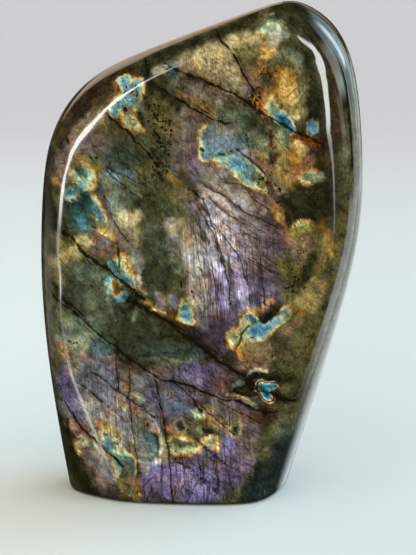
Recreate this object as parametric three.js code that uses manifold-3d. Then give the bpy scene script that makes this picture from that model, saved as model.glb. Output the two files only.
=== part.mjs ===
// A polished freeform of labradorite: one solid stone that stands on a flat cut base.
// Millimetres, +Z up. The broad polished face looks along -Y, and the origin is the
// middle of the stone's box at the level of the base.
import * as THREE from 'three';
import { mergeVertices } from 'three/addons/utils/BufferGeometryUtils.js';
import Module from 'manifold-3d';

const wasm = await Module();
wasm.setup();

// Driving dimensions. The form is what is left between flats ground at these places, as a
// lapidary grinds a rough block, with every edge between two flats then rounded over.
// Each flat has the direction it faces, as an angle in the front view counted from +X (right)
// towards +Z (up), its reach from the origin that way, how far it leans to face the front
// (90 faces the front squarely and -90 the back), and the depth y of the point it goes through.
const GROUND_FLATS = [
  // The outline, seen nearly edge on from the front
  { name: 'right', facing: 1, reach: 51.8, lean: 11, depth: 5, crispness: 1 },
  { name: 'right upper', facing: 12, reach: 71.4, lean: 6, depth: 2, crispness: 1 },
  { name: 'right shoulder', facing: 35, reach: 110.2, lean: -4, depth: 2, crispness: 1.2 },
  { name: 'crown', facing: 58, reach: 136.6, lean: -4, depth: 2, crispness: 1.2 },
  { name: 'crown top', facing: 86, reach: 145, lean: -4, depth: 2, crispness: 1.2 },
  { name: 'slope', facing: 110.3, reach: 123.9, lean: -3, depth: 2, crispness: 1.6 },
  { name: 'slope shoulder', facing: 122, reach: 117.9, lean: -3, depth: 1, crispness: 1.6 },
  { name: 'left crown', facing: 141, reach: 99.9, lean: -3, depth: 1, crispness: 1.8 },
  { name: 'left upper', facing: 162, reach: 71.7, lean: -3, depth: 1, crispness: 1.8 },
  { name: 'left', facing: 175.5, reach: 52.2, lean: -2, depth: 0, crispness: 1.6 },
  { name: 'left lower', facing: 186.7, reach: 38.9, lean: -2, depth: 0, crispness: 1.6 },
  { name: 'right mid', facing: -12, reach: 34.6, lean: 14, depth: 6, crispness: 1 },
  { name: 'right lower', facing: -18.2, reach: 25.9, lean: 16, depth: 6, crispness: 1 },
  // The broad front face, which bulges a little
  { name: 'front', facing: 90, reach: 10, lean: 86, depth: -22.5, crispness: 1 },
  { name: 'front left', facing: 180, reach: 0, lean: 80, depth: -22, crispness: 0.8 },
  { name: 'front right', facing: 0, reach: 10, lean: 79, depth: -22, crispness: 0.8 },
  // The bevels between the front face and the outline
  { name: 'left bevel', facing: 177.5, reach: 42.1, lean: 27, depth: -16.5, crispness: 1.6 },
  { name: 'left low side', facing: 191, reach: 37.5, lean: 15, depth: -5, crispness: 1.6 },
  { name: 'left low bevel', facing: 198, reach: 25.9, lean: 50, depth: -15, crispness: 1.8 },
  { name: 'left crown bevel', facing: 135, reach: 98, lean: 33, depth: -13, crispness: 1.5 },
  { name: 'slope bevel', facing: 113, reach: 118.5, lean: 36, depth: -12.5, crispness: 1.5 },
  { name: 'right crown bevel', facing: 41, reach: 108.4, lean: 36, depth: -12, crispness: 0.9 },
  { name: 'right bevel', facing: 8, reach: 54.4, lean: 38, depth: -13, crispness: 0.9 },
  { name: 'right low bevel', facing: -16, reach: 19.4, lean: 40, depth: -17, crispness: 0.9 },
  // The back, rounder than the front
  { name: 'back', facing: 90, reach: 10, lean: -85, depth: 23, crispness: 1 },
  { name: 'back left', facing: 180, reach: 18, lean: -58, depth: 21, crispness: 0.8 },
  { name: 'back right', facing: 0, reach: 26, lean: -48, depth: 19, crispness: 0.8 },
  { name: 'back top', facing: 100, reach: 120, lean: -48, depth: 13, crispness: 0.8 },
  { name: 'back left low', facing: 200, reach: 30, lean: -35, depth: 16, crispness: 0.8 },
  { name: 'back right low', facing: -14, reach: 18.8, lean: -35, depth: 16, crispness: 0.8 },
  // Closes the form below the base, where the sawn flat then cuts it away
  { name: 'underside', facing: -90, reach: 8, lean: 0, depth: 0, crispness: 3 },
];
const EDGE_SHARPNESS = 0.45; // per mm, more makes every edge between flats sharper

// The point that rays to the surface start from, and rough half sizes that spread them evenly
const CORE = new THREE.Vector3(0, 0, 66);
const CORE_HALF_SIZE = new THREE.Vector3(44, 23, 68);
const LONGEST_RAY = 160;
const HALVINGS = 30; // bisection steps, which end far below a micrometre
const SURFACE_DETAIL = 21; // 20 * (detail + 1)^2 triangles before the base is cut

const SAW_BLOCK = 200; // side of the block that is cut away below the base

const STONE_COLOUR = 0x5d5b48; // dark olive body, seen where nothing flashes

function groundFlat({ facing, reach, lean, depth, crispness }) {
  const round = THREE.MathUtils.degToRad(facing);
  const tilt = THREE.MathUtils.degToRad(lean);
  const outward = new THREE.Vector3(
    Math.cos(round) * Math.cos(tilt),
    -Math.sin(tilt),
    Math.sin(round) * Math.cos(tilt),
  );
  const point = new THREE.Vector3(Math.cos(round) * reach, depth, Math.sin(round) * reach);
  return { outward, distance: outward.dot(point), weight: crispness * EDGE_SHARPNESS };
}

// Negative inside the stone, zero on its surface: the logarithm of a sum of exponentials
// follows the flat that a point is most outside of, and rounds over where two flats meet.
function outsideness(point, flats) {
  let sum = 0;
  for (const { outward, distance, weight } of flats) {
    sum += Math.exp(weight * (outward.dot(point) - distance));
  }
  return Math.log(sum);
}

function surfacePoint(direction, flats) {
  const point = new THREE.Vector3();
  let inside = 0;
  let outside = LONGEST_RAY;
  for (let i = 0; i < HALVINGS; i += 1) {
    const middle = (inside + outside) / 2;
    point.copy(CORE).addScaledVector(direction, middle);
    if (outsideness(point, flats) < 0) inside = middle;
    else outside = middle;
  }
  return point.copy(CORE).addScaledVector(direction, inside);
}

// Deletes what keeps equal corners apart, so that the geometry closes
function closed(geometry) {
  geometry.deleteAttribute('normal');
  geometry.deleteAttribute('uv');
  return mergeVertices(geometry);
}

function roundedForm() {
  const flats = GROUND_FLATS.map(groundFlat);
  const geometry = closed(new THREE.IcosahedronGeometry(1, SURFACE_DETAIL));
  const position = geometry.getAttribute('position');
  const direction = new THREE.Vector3();
  for (let i = 0; i < position.count; i += 1) {
    direction.fromBufferAttribute(position, i).multiply(CORE_HALF_SIZE).normalize();
    const point = surfacePoint(direction, flats);
    position.setXYZ(i, point.x, point.y, point.z);
  }
  return geometry;
}

function sawBlock() {
  const block = new THREE.BoxGeometry(SAW_BLOCK, SAW_BLOCK, SAW_BLOCK);
  block.translate(0, 0, -SAW_BLOCK / 2);
  return closed(block);
}

function toSolid(geometry) {
  return new wasm.Manifold(new wasm.Mesh({
    numProp: 3,
    vertProperties: new Float32Array(geometry.getAttribute('position').array),
    triVerts: new Uint32Array(geometry.getIndex().array),
  }));
}

function toGeometry(solid) {
  const mesh = solid.getMesh();
  const geometry = new THREE.BufferGeometry();
  geometry.setAttribute('position', new THREE.BufferAttribute(mesh.vertProperties, 3));
  geometry.setIndex(new THREE.BufferAttribute(mesh.triVerts, 1));
  return geometry;
}

// Puts the middle of the box, at the level of the base, on the origin
function centreOnBase(geometry) {
  geometry.computeBoundingBox();
  const middle = geometry.boundingBox.getCenter(new THREE.Vector3());
  geometry.translate(-middle.x, -middle.y, -geometry.boundingBox.min.z);
  return geometry;
}

function polishedStone() {
  const solid = toSolid(roundedForm()).subtract(toSolid(sawBlock()));
  const geometry = centreOnBase(toGeometry(solid));
  geometry.computeVertexNormals();
  const material = new THREE.MeshStandardMaterial({
    color: STONE_COLOUR,
    roughness: 0.12,
    metalness: 0,
  });
  const stone = new THREE.Mesh(geometry, material);
  stone.name = 'stone';
  return stone;
}

const labradorite = new THREE.Group();
labradorite.add(polishedStone());

export default labradorite;
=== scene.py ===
import math

import bpy
import numpy as np
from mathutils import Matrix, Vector, noise


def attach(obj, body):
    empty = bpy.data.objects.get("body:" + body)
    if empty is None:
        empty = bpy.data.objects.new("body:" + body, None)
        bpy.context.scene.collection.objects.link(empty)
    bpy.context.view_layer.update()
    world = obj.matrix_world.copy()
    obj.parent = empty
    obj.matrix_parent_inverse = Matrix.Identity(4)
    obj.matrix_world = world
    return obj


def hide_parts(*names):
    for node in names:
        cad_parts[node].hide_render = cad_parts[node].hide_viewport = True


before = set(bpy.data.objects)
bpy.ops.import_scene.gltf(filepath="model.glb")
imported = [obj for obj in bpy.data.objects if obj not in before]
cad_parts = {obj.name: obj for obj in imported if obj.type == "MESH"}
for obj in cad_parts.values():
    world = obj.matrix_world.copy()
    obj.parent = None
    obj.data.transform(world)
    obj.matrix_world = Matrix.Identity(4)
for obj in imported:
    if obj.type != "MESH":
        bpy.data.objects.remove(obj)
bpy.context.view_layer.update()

MM = 0.001

# The stone's form: what is left between flats ground at these places, with every edge rounded.
# Name, angle the flat faces in the front view, reach that way (mm), lean to face the front,
# depth y of the point it goes through (mm), crispness of its edges.
GROUND_FLATS = [
    ("right", 1, 51.8, 11, 5, 1),
    ("right upper", 12, 71.4, 6, 2, 1),
    ("right shoulder", 35, 110.2, -4, 2, 1.2),
    ("crown", 58, 136.6, -4, 2, 1.2),
    ("crown top", 86, 145, -4, 2, 1.2),
    ("slope", 110.3, 123.9, -3, 2, 1.6),
    ("slope shoulder", 122, 117.9, -3, 1, 1.6),
    ("left crown", 141, 99.9, -3, 1, 1.8),
    ("left upper", 162, 71.7, -3, 1, 1.8),
    ("left", 175.5, 52.2, -2, 0, 1.6),
    ("left lower", 186.7, 38.9, -2, 0, 1.6),
    ("right mid", -12, 34.6, 14, 6, 1),
    ("right lower", -18.2, 25.9, 16, 6, 1),
    ("front", 90, 10, 86, -22.5, 1),
    ("front left", 180, 0, 80, -22, 0.8),
    ("front right", 0, 10, 79, -22, 0.8),
    ("left bevel", 177.5, 42.1, 27, -16.5, 1.6),
    ("left low side", 191, 37.5, 15, -5, 1.6),
    ("left low bevel", 198, 25.9, 50, -15, 1.8),
    ("left crown bevel", 135, 98, 33, -13, 1.5),
    ("slope bevel", 113, 118.5, 36, -12.5, 1.5),
    ("right crown bevel", 41, 108.4, 36, -12, 0.9),
    ("right bevel", 8, 54.4, 38, -13, 0.9),
    ("right low bevel", -16, 19.4, 40, -17, 0.9),
    ("back", 90, 10, -85, 23, 1),
    ("back left", 180, 18, -58, 21, 0.8),
    ("back right", 0, 26, -48, 19, 0.8),
    ("back top", 100, 120, -48, 13, 0.8),
    ("back left low", 200, 30, -35, 16, 0.8),
    ("back right low", -14, 18.8, -35, 16, 0.8),
]
EDGE_SHARPNESS = 0.45  # per mm
BASE_SHARPNESS = 3.0  # per mm, the sawn base keeps a crisp edge
CORE = np.array([0.0, 0.0, 66.0])
CORE_HALF_SIZE = np.array([44.0, 23.0, 68.0])
LONGEST_RAY = 160.0
HALVINGS = 30

# Cells of the mesh across the face, up it and through the depth. The back has half as many.
CELLS_ACROSS = 176
CELLS_UP = 264
CELLS_DEEP = 36
FRONT_CROWDING = 0.55  # how much closer the rings of cells lie near the face


def ground_planes():
    """Outward unit normals, distances and edge weights of all flats and of the sawn base."""
    normals, distances, weights = [], [], []
    for _, facing, reach, lean, depth, crispness in GROUND_FLATS:
        turn, tilt = math.radians(facing), math.radians(lean)
        normal = np.array([
            math.cos(turn) * math.cos(tilt),
            -math.sin(tilt),
            math.sin(turn) * math.cos(tilt),
        ])
        point = np.array([math.cos(turn) * reach, depth, math.sin(turn) * reach])
        normals.append(normal)
        distances.append(normal @ point)
        weights.append(crispness * EDGE_SHARPNESS)
    normals.append(np.array([0.0, 0.0, -1.0]))
    distances.append(0.0)
    weights.append(BASE_SHARPNESS)
    return np.array(normals), np.array(distances), np.array(weights)


def outsideness(points, planes):
    """Negative inside the stone and zero on its surface."""
    normals, distances, weights = planes
    return np.log(np.exp((points @ normals.T - distances) * weights).sum(axis=1))


def surface_normals(points, planes):
    normals, distances, weights = planes
    pull = np.exp((points @ normals.T - distances) * weights) * weights
    gradient = pull @ normals
    return gradient / np.linalg.norm(gradient, axis=1, keepdims=True)


def surface_points(directions, planes):
    inside = np.zeros(len(directions))
    outside = np.full(len(directions), LONGEST_RAY)
    for _ in range(HALVINGS):
        middle = (inside + outside) / 2
        within = outsideness(CORE + directions * middle[:, None], planes) < 0
        inside = np.where(within, middle, inside)
        outside = np.where(within, outside, middle)
    return CORE + directions * inside[:, None]


def ball_point(x, y, z):
    """Spreads a point of a cube's skin evenly over the unit ball."""
    return (
        x * math.sqrt(1 - y * y / 2 - z * z / 2 + y * y * z * z / 3),
        y * math.sqrt(1 - z * z / 2 - x * x / 2 + z * z * x * x / 3),
        z * math.sqrt(1 - x * x / 2 - y * y / 2 + x * x * y * y / 3),
    )


def rim_loop():
    """Grid places (across, up) once round the rim of the front or back face."""
    loop = [(i, 0) for i in range(CELLS_ACROSS)]
    loop += [(CELLS_ACROSS, j) for j in range(CELLS_UP)]
    loop += [(i, CELLS_UP) for i in range(CELLS_ACROSS, 0, -1)]
    loop += [(0, j) for j in range(CELLS_UP, 0, -1)]
    return loop


def stone_grid():
    """Directions and faces of a closed grid: fine front, rings round the depth, coarser back."""
    directions, faces = [], []

    def add(i, j, y):
        x = 2 * i / CELLS_ACROSS - 1
        z = 2 * j / CELLS_UP - 1
        directions.append(ball_point(x, y, z))
        return len(directions) - 1

    front = {(i, j): add(i, j, -1) for j in range(CELLS_UP + 1) for i in range(CELLS_ACROSS + 1)}
    for j in range(CELLS_UP):
        for i in range(CELLS_ACROSS):
            faces.append((front[i, j], front[i + 1, j], front[i + 1, j + 1], front[i, j + 1]))
    loop = rim_loop()
    count = len(loop)
    before = [front[place] for place in loop]
    for k in range(1, CELLS_DEEP):
        share = k / CELLS_DEEP
        y = 2 * (share * (1 - FRONT_CROWDING) + share * share * FRONT_CROWDING) - 1
        ring = [add(i, j, y) for i, j in loop]
        for n in range(count):
            m = (n + 1) % count
            faces.append((before[m], before[n], ring[n], ring[m]))
        before = ring
    back = {
        (i, j): add(i, j, 1)
        for j in range(0, CELLS_UP + 1, 2)
        for i in range(0, CELLS_ACROSS + 1, 2)
    }
    for n in range(0, count, 2):
        near, mid, far = before[n], before[n + 1], before[(n + 2) % count]
        a, b = back[loop[n]], back[loop[(n + 2) % count]]
        faces += [(mid, near, a), (far, mid, b), (mid, a, b)]
    for j in range(0, CELLS_UP, 2):
        for i in range(0, CELLS_ACROSS, 2):
            faces.append((back[i, j], back[i, j + 2], back[i + 2, j + 2], back[i + 2, j]))
    directions = np.array(directions) * CORE_HALF_SIZE
    return directions / np.linalg.norm(directions, axis=1, keepdims=True), faces


# Colours of the markings as they look in plain daylight, sRGB 0 to 255
COLOURS = {
    "black": (8, 9, 5),
    "smoky": (32, 42, 40),
    "dark olive": (36, 36, 19),
    "olive": (74, 72, 46),
    "moss": (98, 94, 50),
    "grey green": (90, 101, 82),
    "pale green": (134, 146, 122),
    "grey blue": (112, 132, 144),
    "teal grey": (78, 104, 102),
    "teal": (30, 84, 88),
    "taupe": (136, 120, 92),
    "mauve": (118, 103, 98),
    "dark violet": (72, 58, 74),
    "violet": (98, 86, 104),
    "lavender": (104, 94, 142),
    "lilac": (138, 130, 148),
    "silver": (150, 146, 140),
    "cream": (200, 184, 138),
    "white": (224, 220, 202),
    "brown": (70, 48, 30),
    "gold": (150, 122, 62),
    "orange": (200, 130, 56),
    "pink": (142, 106, 88),
    "rust": (140, 78, 18),
    "blue": (50, 112, 150),
    "pale mauve": (192, 180, 186),
    "bright lilac": (174, 160, 206),
    "lime": (190, 186, 70),
    "pale lemon": (200, 202, 144),
    "khaki": (150, 140, 98),
    "wheat": (208, 180, 118),
    "amber": (208, 150, 54),
    "umber": (80, 62, 52),
    "mint": (216, 240, 204),
    "frost": (226, 214, 226),
}

# The flash from its outside inwards: order 0 to 1 against colour
FLASH_ORDER = [
    (0.00, (98, 84, 88)),
    (0.14, (92, 74, 54)),
    (0.26, (134, 88, 46)),
    (0.36, (178, 124, 60)),
    (0.46, (204, 168, 92)),
    (0.55, (212, 204, 146)),
    (0.64, (156, 184, 152)),
    (0.73, (130, 172, 170)),
    (0.82, (104, 154, 174)),
    (0.91, (56, 118, 158)),
    (1.00, (10, 60, 98)),
]

# How a flash changes with the distance (mm) inwards from its outline: distance, order, cover
RIM = [
    (-1.0, 0.3, 0), (-0.4, 0.38, 0.35), (0.1, 0.47, 0.8), (0.5, 0.56, 1), (1.0, 0.65, 1),
    (1.8, 0.74, 1), (3.4, 0.82, 1),
]
CRISP = [
    (-0.8, 0.26, 0), (-0.3, 0.35, 0.5), (0.1, 0.46, 0.95), (0.4, 0.56, 1), (0.8, 0.68, 1),
    (1.5, 0.79, 1), (2.6, 0.87, 1),
]
PALE = [(-1.4, 0.5, 0), (-0.4, 0.55, 0.45), (0.5, 0.61, 0.8), (1.4, 0.68, 0.95), (2.4, 0.74, 1)]
DEEP = [(-0.7, 0.6, 0), (0, 0.74, 0.7), (0.5, 0.86, 1), (1.1, 0.95, 1), (1.8, 1.0, 1)]
BLUE = [(-0.9, 0.7, 0), (-0.1, 0.78, 0.6), (0.7, 0.86, 1), (1.6, 0.91, 1)]
GOLDEN = [(-1.8, 0.24, 0), (-0.6, 0.32, 0.35), (0.6, 0.4, 0.7), (2.0, 0.45, 0.82), (4, 0.49, 0.88)]
LEMON = [(-1.3, 0.3, 0), (-0.4, 0.38, 0.45), (0.3, 0.47, 0.85), (1.0, 0.55, 0.95), (2.0, 0.62, 1)]
EMBER = [(-1.0, 0.18, 0), (0, 0.26, 0.6), (0.6, 0.33, 0.85), (1.6, 0.38, 1)]
HALO = [(-1.9, 0.78, 0), (-1.1, 0.82, 0.95), (-0.5, 0.7, 1), (-0.1, 0.55, 1), (0.25, 0.34, 1), (0.8, 0.16, 1)]

# The markings on the face in painting order, all lengths in mm. A stroke is (colour, strength,
# half width, softness, then x and z of each point) and a flash is (profile, then x and z of each
# point of its outline).
FACE = [
    # Broad body zones
    ("grey green", 0.9, 14, 12, -15, 92, -22, 62),
    ("olive", 0.85, 9, 7, -14, 106, -10, 90),
    ("dark olive", 0.85, 3.5, 4, -36, 112, -30, 117, -20, 122),
    ("dark olive", 0.7, 3, 3, -42, 96, -43, 84, -42, 76),
    ("mauve", 0.85, 3, 3, -32, 106, -37, 99, -39, 92),
    ("mauve", 0.8, 3.2, 3, -30, 101, -27, 103),
    ("taupe", 0.9, 4.5, 3, -7, 116, 2, 113, 8, 120, 11, 118),
    ("taupe", 0.9, 4, 3, -4, 123, 6, 122, 12, 120),
    ("mauve", 0.85, 5, 4, -5, 106, -3, 99),
    ("violet", 0.95, 11, 6, 4, 92, 12, 86, 8, 70, 12, 62),
    ("mauve", 0.75, 5, 4, 3, 93, 10, 90, 16, 86),
    ("silver", 0.8, 4, 4, -3, 76, -1, 64, 2, 57),
    ("lilac", 0.7, 4, 4, 4, 84, 6, 70, 6, 60),
    ("lilac", 0.5, 3, 3, 12, 78, 11, 62),
    ("dark violet", 0.9, 5, 4, 1, 51, 6, 50, 4, 47),
    ("dark violet", 0.75, 4, 4, 18, 84, 20, 76, 19, 67),
    ("dark olive", 0.9, 5.5, 4, 26, 88, 32, 86, 28, 82),
    ("dark olive", 0.8, 4, 4, 33, 114, 34, 100, 35, 92),
    ("dark olive", 0.95, 4, 3, 22, 138, 30, 134, 35, 126, 38, 114),
    ("olive", 0.8, 3, 3, 24, 133, 27, 126, 30, 118),
    ("taupe", 0.85, 4, 4, 21, 93, 23, 99),
    ("grey green", 0.9, 4.5, 4, 9, 107, 14, 104),
    ("gold", 0.6, 4, 5, 30, 74, 34, 72),
    ("moss", 0.55, 6, 5, 27, 68, 30, 50, 30, 40),
    ("olive", 0.8, 6, 5, 24, 42, 27, 30, 24, 22),
    ("olive", 0.8, 3, 3, 34, 66, 33, 50, 30, 38),
    ("grey green", 0.9, 9, 6, -30, 60, -33, 54),
    ("grey green", 0.8, 5, 4, -18, 53, -24, 52),
    ("dark olive", 0.6, 6, 5, -16, 48, -8, 47, -2, 43),
    ("teal grey", 0.55, 3.5, 4, -14, 44, -3, 43),
    ("mauve", 0.85, 9, 4, -30, 35, -22, 33),
    ("violet", 0.6, 8, 5, -32, 30, -20, 38),
    ("silver", 0.5, 4, 4, -34, 26, -30, 28),
    ("mauve", 0.9, 4, 3, -14, 38, -9, 38),
    ("lilac", 0.7, 3, 3, -17, 38, -15.5, 33),
    ("lilac", 0.7, 3, 3, -23, 28, -22, 20),
    ("grey green", 0.6, 3, 3, -16, 27, -14, 22),
    ("violet", 0.95, 8, 4, -8, 30, 4, 34, 6, 27, 10, 17),
    ("lavender", 0.8, 2.6, 2.5, -3, 39.5, 0, 37.5, 5, 36),
    ("grey blue", 0.5, 3, 3, -8, 30, -5, 27),
    ("olive", 0.85, 4, 3, -3, 23, 3, 22),
    ("violet", 0.9, 5, 3, 0, 13, 10, 12, 12, 21),
    ("mauve", 0.7, 3, 3, 13, 24, 14, 16),
    ("lavender", 0.95, 6, 3, -12, 7, -6, 7, 0, 5),
    ("lavender", 0.7, 3.2, 3, 5, 9, 8, 7),
    ("lavender", 0.7, 2.2, 2, 6.5, 15.5, 8, 17),
    ("lilac", 0.85, 3.2, 2.5, -29, 12, -27, 7),
    ("grey blue", 0.6, 2, 2, -32, 17, -31, 13),
    ("violet", 0.85, 2.2, 2, -38.5, 36, -36.5, 29, -33.5, 23),
    ("dark olive", 0.95, 3, 2, -40, 22, -38, 12, -34, 5, -28, 0),
    ("dark violet", 0.6, 2.5, 2, -28, 4, -24, 1),
    ("smoky", 0.97, 5.5, 1.2, 22.5, 16, 20.5, 8, 16, 3),
    ("smoky", 0.97, 3, 1.5, 25, 10, 22, 4),
    ("olive", 0.9, 2.5, 2, 19, 23, 17.5, 15),
    ("dark olive", 0.7, 1.0, 1, -16, 0, 2, 0, 12, 1),
    ("olive", 0.8, 1.8, 1.5, 4, 1.5, 9, 2.5, 10, 5),
    # Lighter and darker parts of those zones
    ("dark olive", 0.6, 3.5, 4, -12, 122, -12, 117),
    ("moss", 0.5, 3, 3, -10, 112, -8, 104),
    ("brown", 0.6, 2.6, 3, -38, 104, -31, 113, -22, 119),
    ("dark olive", 0.7, 1.4, 1.8, -38.6, 101, -35.8, 106.4, -31, 111.4),
    # Partly the stone's own taupe, partly a painted glow beside the highlight line on the left shoulder
    ("taupe", 0.85, 1.5, 1.8, -35, 102.6, -30.4, 107.8, -26.4, 110.6),
    ("khaki", 0.6, 1.4, 1.8, -27.4, 108.6, -26, 107),
    ("brown", 0.45, 3, 3, -5, 115, 1, 112),
    ("brown", 0.4, 2.8, 3, 14, 117, 15, 110),
    ("dark olive", 0.5, 3, 3, 12, 107, 17, 105),
    ("pale green", 0.35, 3.5, 3, 4, 106, 9, 105),
    ("gold", 0.6, 3, 4, 23, 101, 24, 93),
    ("brown", 0.4, 4, 4, 33, 99, 34, 92),
    ("silver", 0.8, 4.5, 5, 3, 91, 8, 86),
    ("taupe", 0.6, 3.5, 4, 13, 90, 17, 86),
    ("dark olive", 0.5, 4, 4, 32, 90, 34, 85),
    ("dark olive", 0.5, 3.5, 4, -40, 82, -39, 77),
    ("pale mauve", 0.8, 3.6, 4, 2, 88, 6, 82, 8, 72),
    ("pale mauve", 0.6, 3, 4, 8, 87, 13, 82, 14, 74),
    ("pale mauve", 0.9, 1.8, 2.2, 1.6, 86, 3.6, 80, 4, 69),
    ("bright lilac", 0.85, 1.2, 1.6, 4.6, 72, 5.4, 64, 6.2, 57),
    ("bright lilac", 0.8, 1.2, 1.6, 9.6, 71, 10.4, 66, 12, 56.6),
    ("dark violet", 0.3, 1.2, 2.0, 15.4, 66, 16, 58),
    ("silver", 0.7, 2.0, 2.4, -1, 61, 0.6, 53),
    ("pale mauve", 0.6, 1.2, 2, -8.6, 80, -7.4, 70),
    ("pale mauve", 0.7, 1.4, 2, -4.4, 80, -3, 68),
    ("brown", 0.55, 1.0, 1.8, -5, 94, -1.4, 88.4, 0, 84.4),
    ("dark olive", 0.75, 1.8, 2, -14.4, 87, -12.8, 82),
    ("mauve", 0.6, 4, 4, 15, 82, 17, 70),
    ("brown", 0.4, 3, 3, 24, 82, 25, 76),
    ("khaki", 0.8, 1.9, 2.2, -40.4, 68.4, -36, 70.6, -32.6, 72.2),
    ("dark olive", 0.4, 5, 5, -11, 74, -11, 66),
    ("silver", 0.7, 3, 4, -3, 75, -1, 66),
    ("olive", 0.5, 4, 4, 32, 72, 33, 66),
    ("dark olive", 0.55, 3.5, 4, -39, 63, -36, 59),
    ("dark olive", 0.45, 6, 5, -22, 58, -14, 63),
    ("dark olive", 0.45, 4, 4, -22, 52, -16, 54),
    ("taupe", 0.85, 1.9, 2.4, -37.4, 45, -35.8, 38),
    ("pale green", 0.7, 2.0, 2.6, -34.6, 46.8, -30, 47.6),
    ("lavender", 0.7, 2.4, 2.5, -38.5, 36, -35, 26),
    ("mauve", 0.75, 2.4, 2.4, -31, 16, -28.5, 6),
    ("silver", 0.5, 1.8, 2.4, -30, 14, -27.6, 6),
    # Painted highlight: silver along the low highlight line on the left bevel
    ("silver", 0.85, 1.5, 1.6, -31, 21, -29.8, 16.4, -28, 12.6),
    ("silver", 0.6, 1.6, 1.8, -14.6, 26.4, -12.4, 23.4),
    ("cream", 0.5, 1.2, 1.4, -10.8, 15, -9, 13.4),
    ("dark olive", 0.75, 4, 4, -23, 46, -16, 42),
    ("dark olive", 0.45, 4, 4, -13, 46, -7, 43),
    ("taupe", 0.5, 3, 3, 13, 45, 17, 43),
    ("grey blue", 0.5, 4, 4, -31, 37, -26, 33),
    ("olive", 0.5, 3, 3, -20, 37, -18, 33),
    ("lilac", 0.4, 3, 3, -4, 36, -1, 34),
    ("brown", 0.45, 3.5, 3, 5, 36, 9, 33),
    ("dark olive", 0.5, 4, 4, 14, 37, 26, 34),
    ("silver", 0.65, 4, 4, -31, 28, -27, 23),
    ("silver", 0.45, 4, 4, -21, 27, -18, 23),
    ("taupe", 0.45, 3.5, 3, 5, 27, 8, 24),
    ("bright lilac", 0.35, 3.5, 4, -13, 8, -8, 7),
    ("bright lilac", 0.5, 4, 4, -5, 8, 2, 6),
    # Pale and gold sheen under the slope
    ("cream", 0.85, 2.0, 2.4, 0, 125.2, 4, 126.8, 9, 128),
    ("cream", 0.75, 1.6, 2.0, 9, 129.6, 15, 129),
    ("khaki", 0.75, 1.7, 2.4, 9, 126.8, 14, 126.2),
    ("cream", 0.6, 2.2, 2.2, 0, 122.5, 7, 122.5, 9, 120),
    ("silver", 0.35, 1.4, 2.2, -5, 121.4, -6, 122.4),
    ("dark olive", 0.85, 1.2, 1.7, -11, 124.6, -4, 127.8, 4, 130.9, 10, 133.2, 15, 135.6),
    ("moss", 0.6, 2.0, 2, 11, 125, 14, 124),
    ("mauve", 0.8, 1.8, 1.5, 12, 118, 13.5, 115.8),
    ("mauve", 0.7, 1.8, 1.5, -3, 117, 0, 116.2, 5, 114),
    ("gold", 0.8, 0.9, 1, -6, 114.5, -1, 113, 1, 111.5),
    ("dark olive", 0.95, 1.3, 1.6, -13.4, 117.8, -9.8, 114.8, -6, 111.4),
    ("cream", 0.7, 1.0, 1.6, -4.6, 123.6, -1, 124.6),
    ("dark olive", 0.85, 1.4, 1.8, 24.8, 134.4, 28, 131.6, 30.4, 126),
    ("grey green", 0.8, 2.2, 2, 8, 110.5, 12, 108.5),
    (PALE, 15, 131.4, 15.8, 133.2, 17.2, 135, 19, 135.8, 21.4, 134.8, 23, 132.6, 23.6, 130.2, 21.6, 129.4,
     19.2, 130, 17, 130.6),
    ("pale lemon", 0.75, 0.9, 1.2, 18.4, 134.9, 20.4, 134, 21.8, 132),
    ("cream", 0.5, 1.0, 1.4, 21, 131.6, 22.2, 130.4),
    ("pale green", 0.75, 1.4, 1.2, 20, 126, 25, 124, 27, 122.5),
    (GOLDEN, 14.8, 128, 17.5, 129, 21, 128, 21, 125, 18.5, 123, 17, 121, 15.5, 122, 15, 125),
    ("dark olive", 0.9, 1.3, 1.2, 28.6, 124, 30.2, 120, 30.8, 112, 31.8, 106),
    ("amber", 0.9, 1.5, 1.0, 21.4, 120.4, 21.2, 117, 22, 114),
    ("amber", 0.8, 1.3, 1.2, 22, 121, 25.6, 120),
    ("wheat", 0.9, 2.1, 1.6, 23.8, 118, 24.4, 114, 25.6, 110),
    ("wheat", 0.7, 1.3, 1.4, 23, 120, 22.2, 116),
    ("khaki", 0.75, 1.2, 1.4, 27.2, 117, 27.4, 110),
    ("taupe", 0.6, 1.0, 1.2, 26.6, 114.4, 26.8, 112.6),
    ("amber", 0.5, 0.5, 1.0, 24.6, 120.4, 25.6, 119, 25.4, 116.4),
    ("pink", 0.6, 1.0, 1, 19.5, 120, 20, 118),
    (LEMON, 14.2, 113.8, 15.8, 116, 18, 116, 19.8, 115.4, 20.4, 113, 19.3, 110.5, 17, 109.8, 15.3, 111.5),
    (EMBER, 15, 115.8, 16.6, 115.8, 16.8, 111.4, 15.2, 112.2),
    (CRISP, 17.4, 112.6, 18, 114.4, 19.4, 114.8, 20.6, 113, 22, 111, 23.8, 109, 25.2, 106.4, 25.6, 104.6,
     23.8, 105.4, 21.6, 107, 19.6, 108.6, 18, 110.4),
    (DEEP, 19.6, 109.2, 21.2, 110.4, 22.8, 109.8, 24.6, 107.6, 26, 104.8, 24.8, 104.2, 22.4, 105.6,
     20.8, 107.2),
    (BLUE, 29.2, 107.4, 30, 108, 31.2, 107, 31.8, 105, 30.8, 104, 29.3, 104.6),
    ("mint", 0.35, 0.9, 1.4, 30.6, 107, 30.2, 105),
    ("pale green", 0.6, 1.8, 2.0, 14.6, 103.6, 17.4, 102),
    ("mint", 0.7, 1.1, 1.4, 18.8, 130.4, 21, 129.8),
    ("cream", 0.7, 0.8, 1.2, 12.4, 131.4, 14.4, 129, 15.8, 127.6),
    ("brown", 0.35, 1.6, 2, 15.4, 124.4, 17.8, 123.4),
    ("wheat", 0.5, 1.2, 1.6, 15.6, 98.8, 17.6, 97.2),
    ("khaki", 0.6, 1.2, 1.6, 18.8, 105, 20.8, 104.2),
    ("dark olive", 0.6, 1.3, 1.6, 12.2, 108, 14.4, 107.6),
    ("dark olive", 0.6, 1.4, 1.6, -8, 118, -5, 117),
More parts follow.
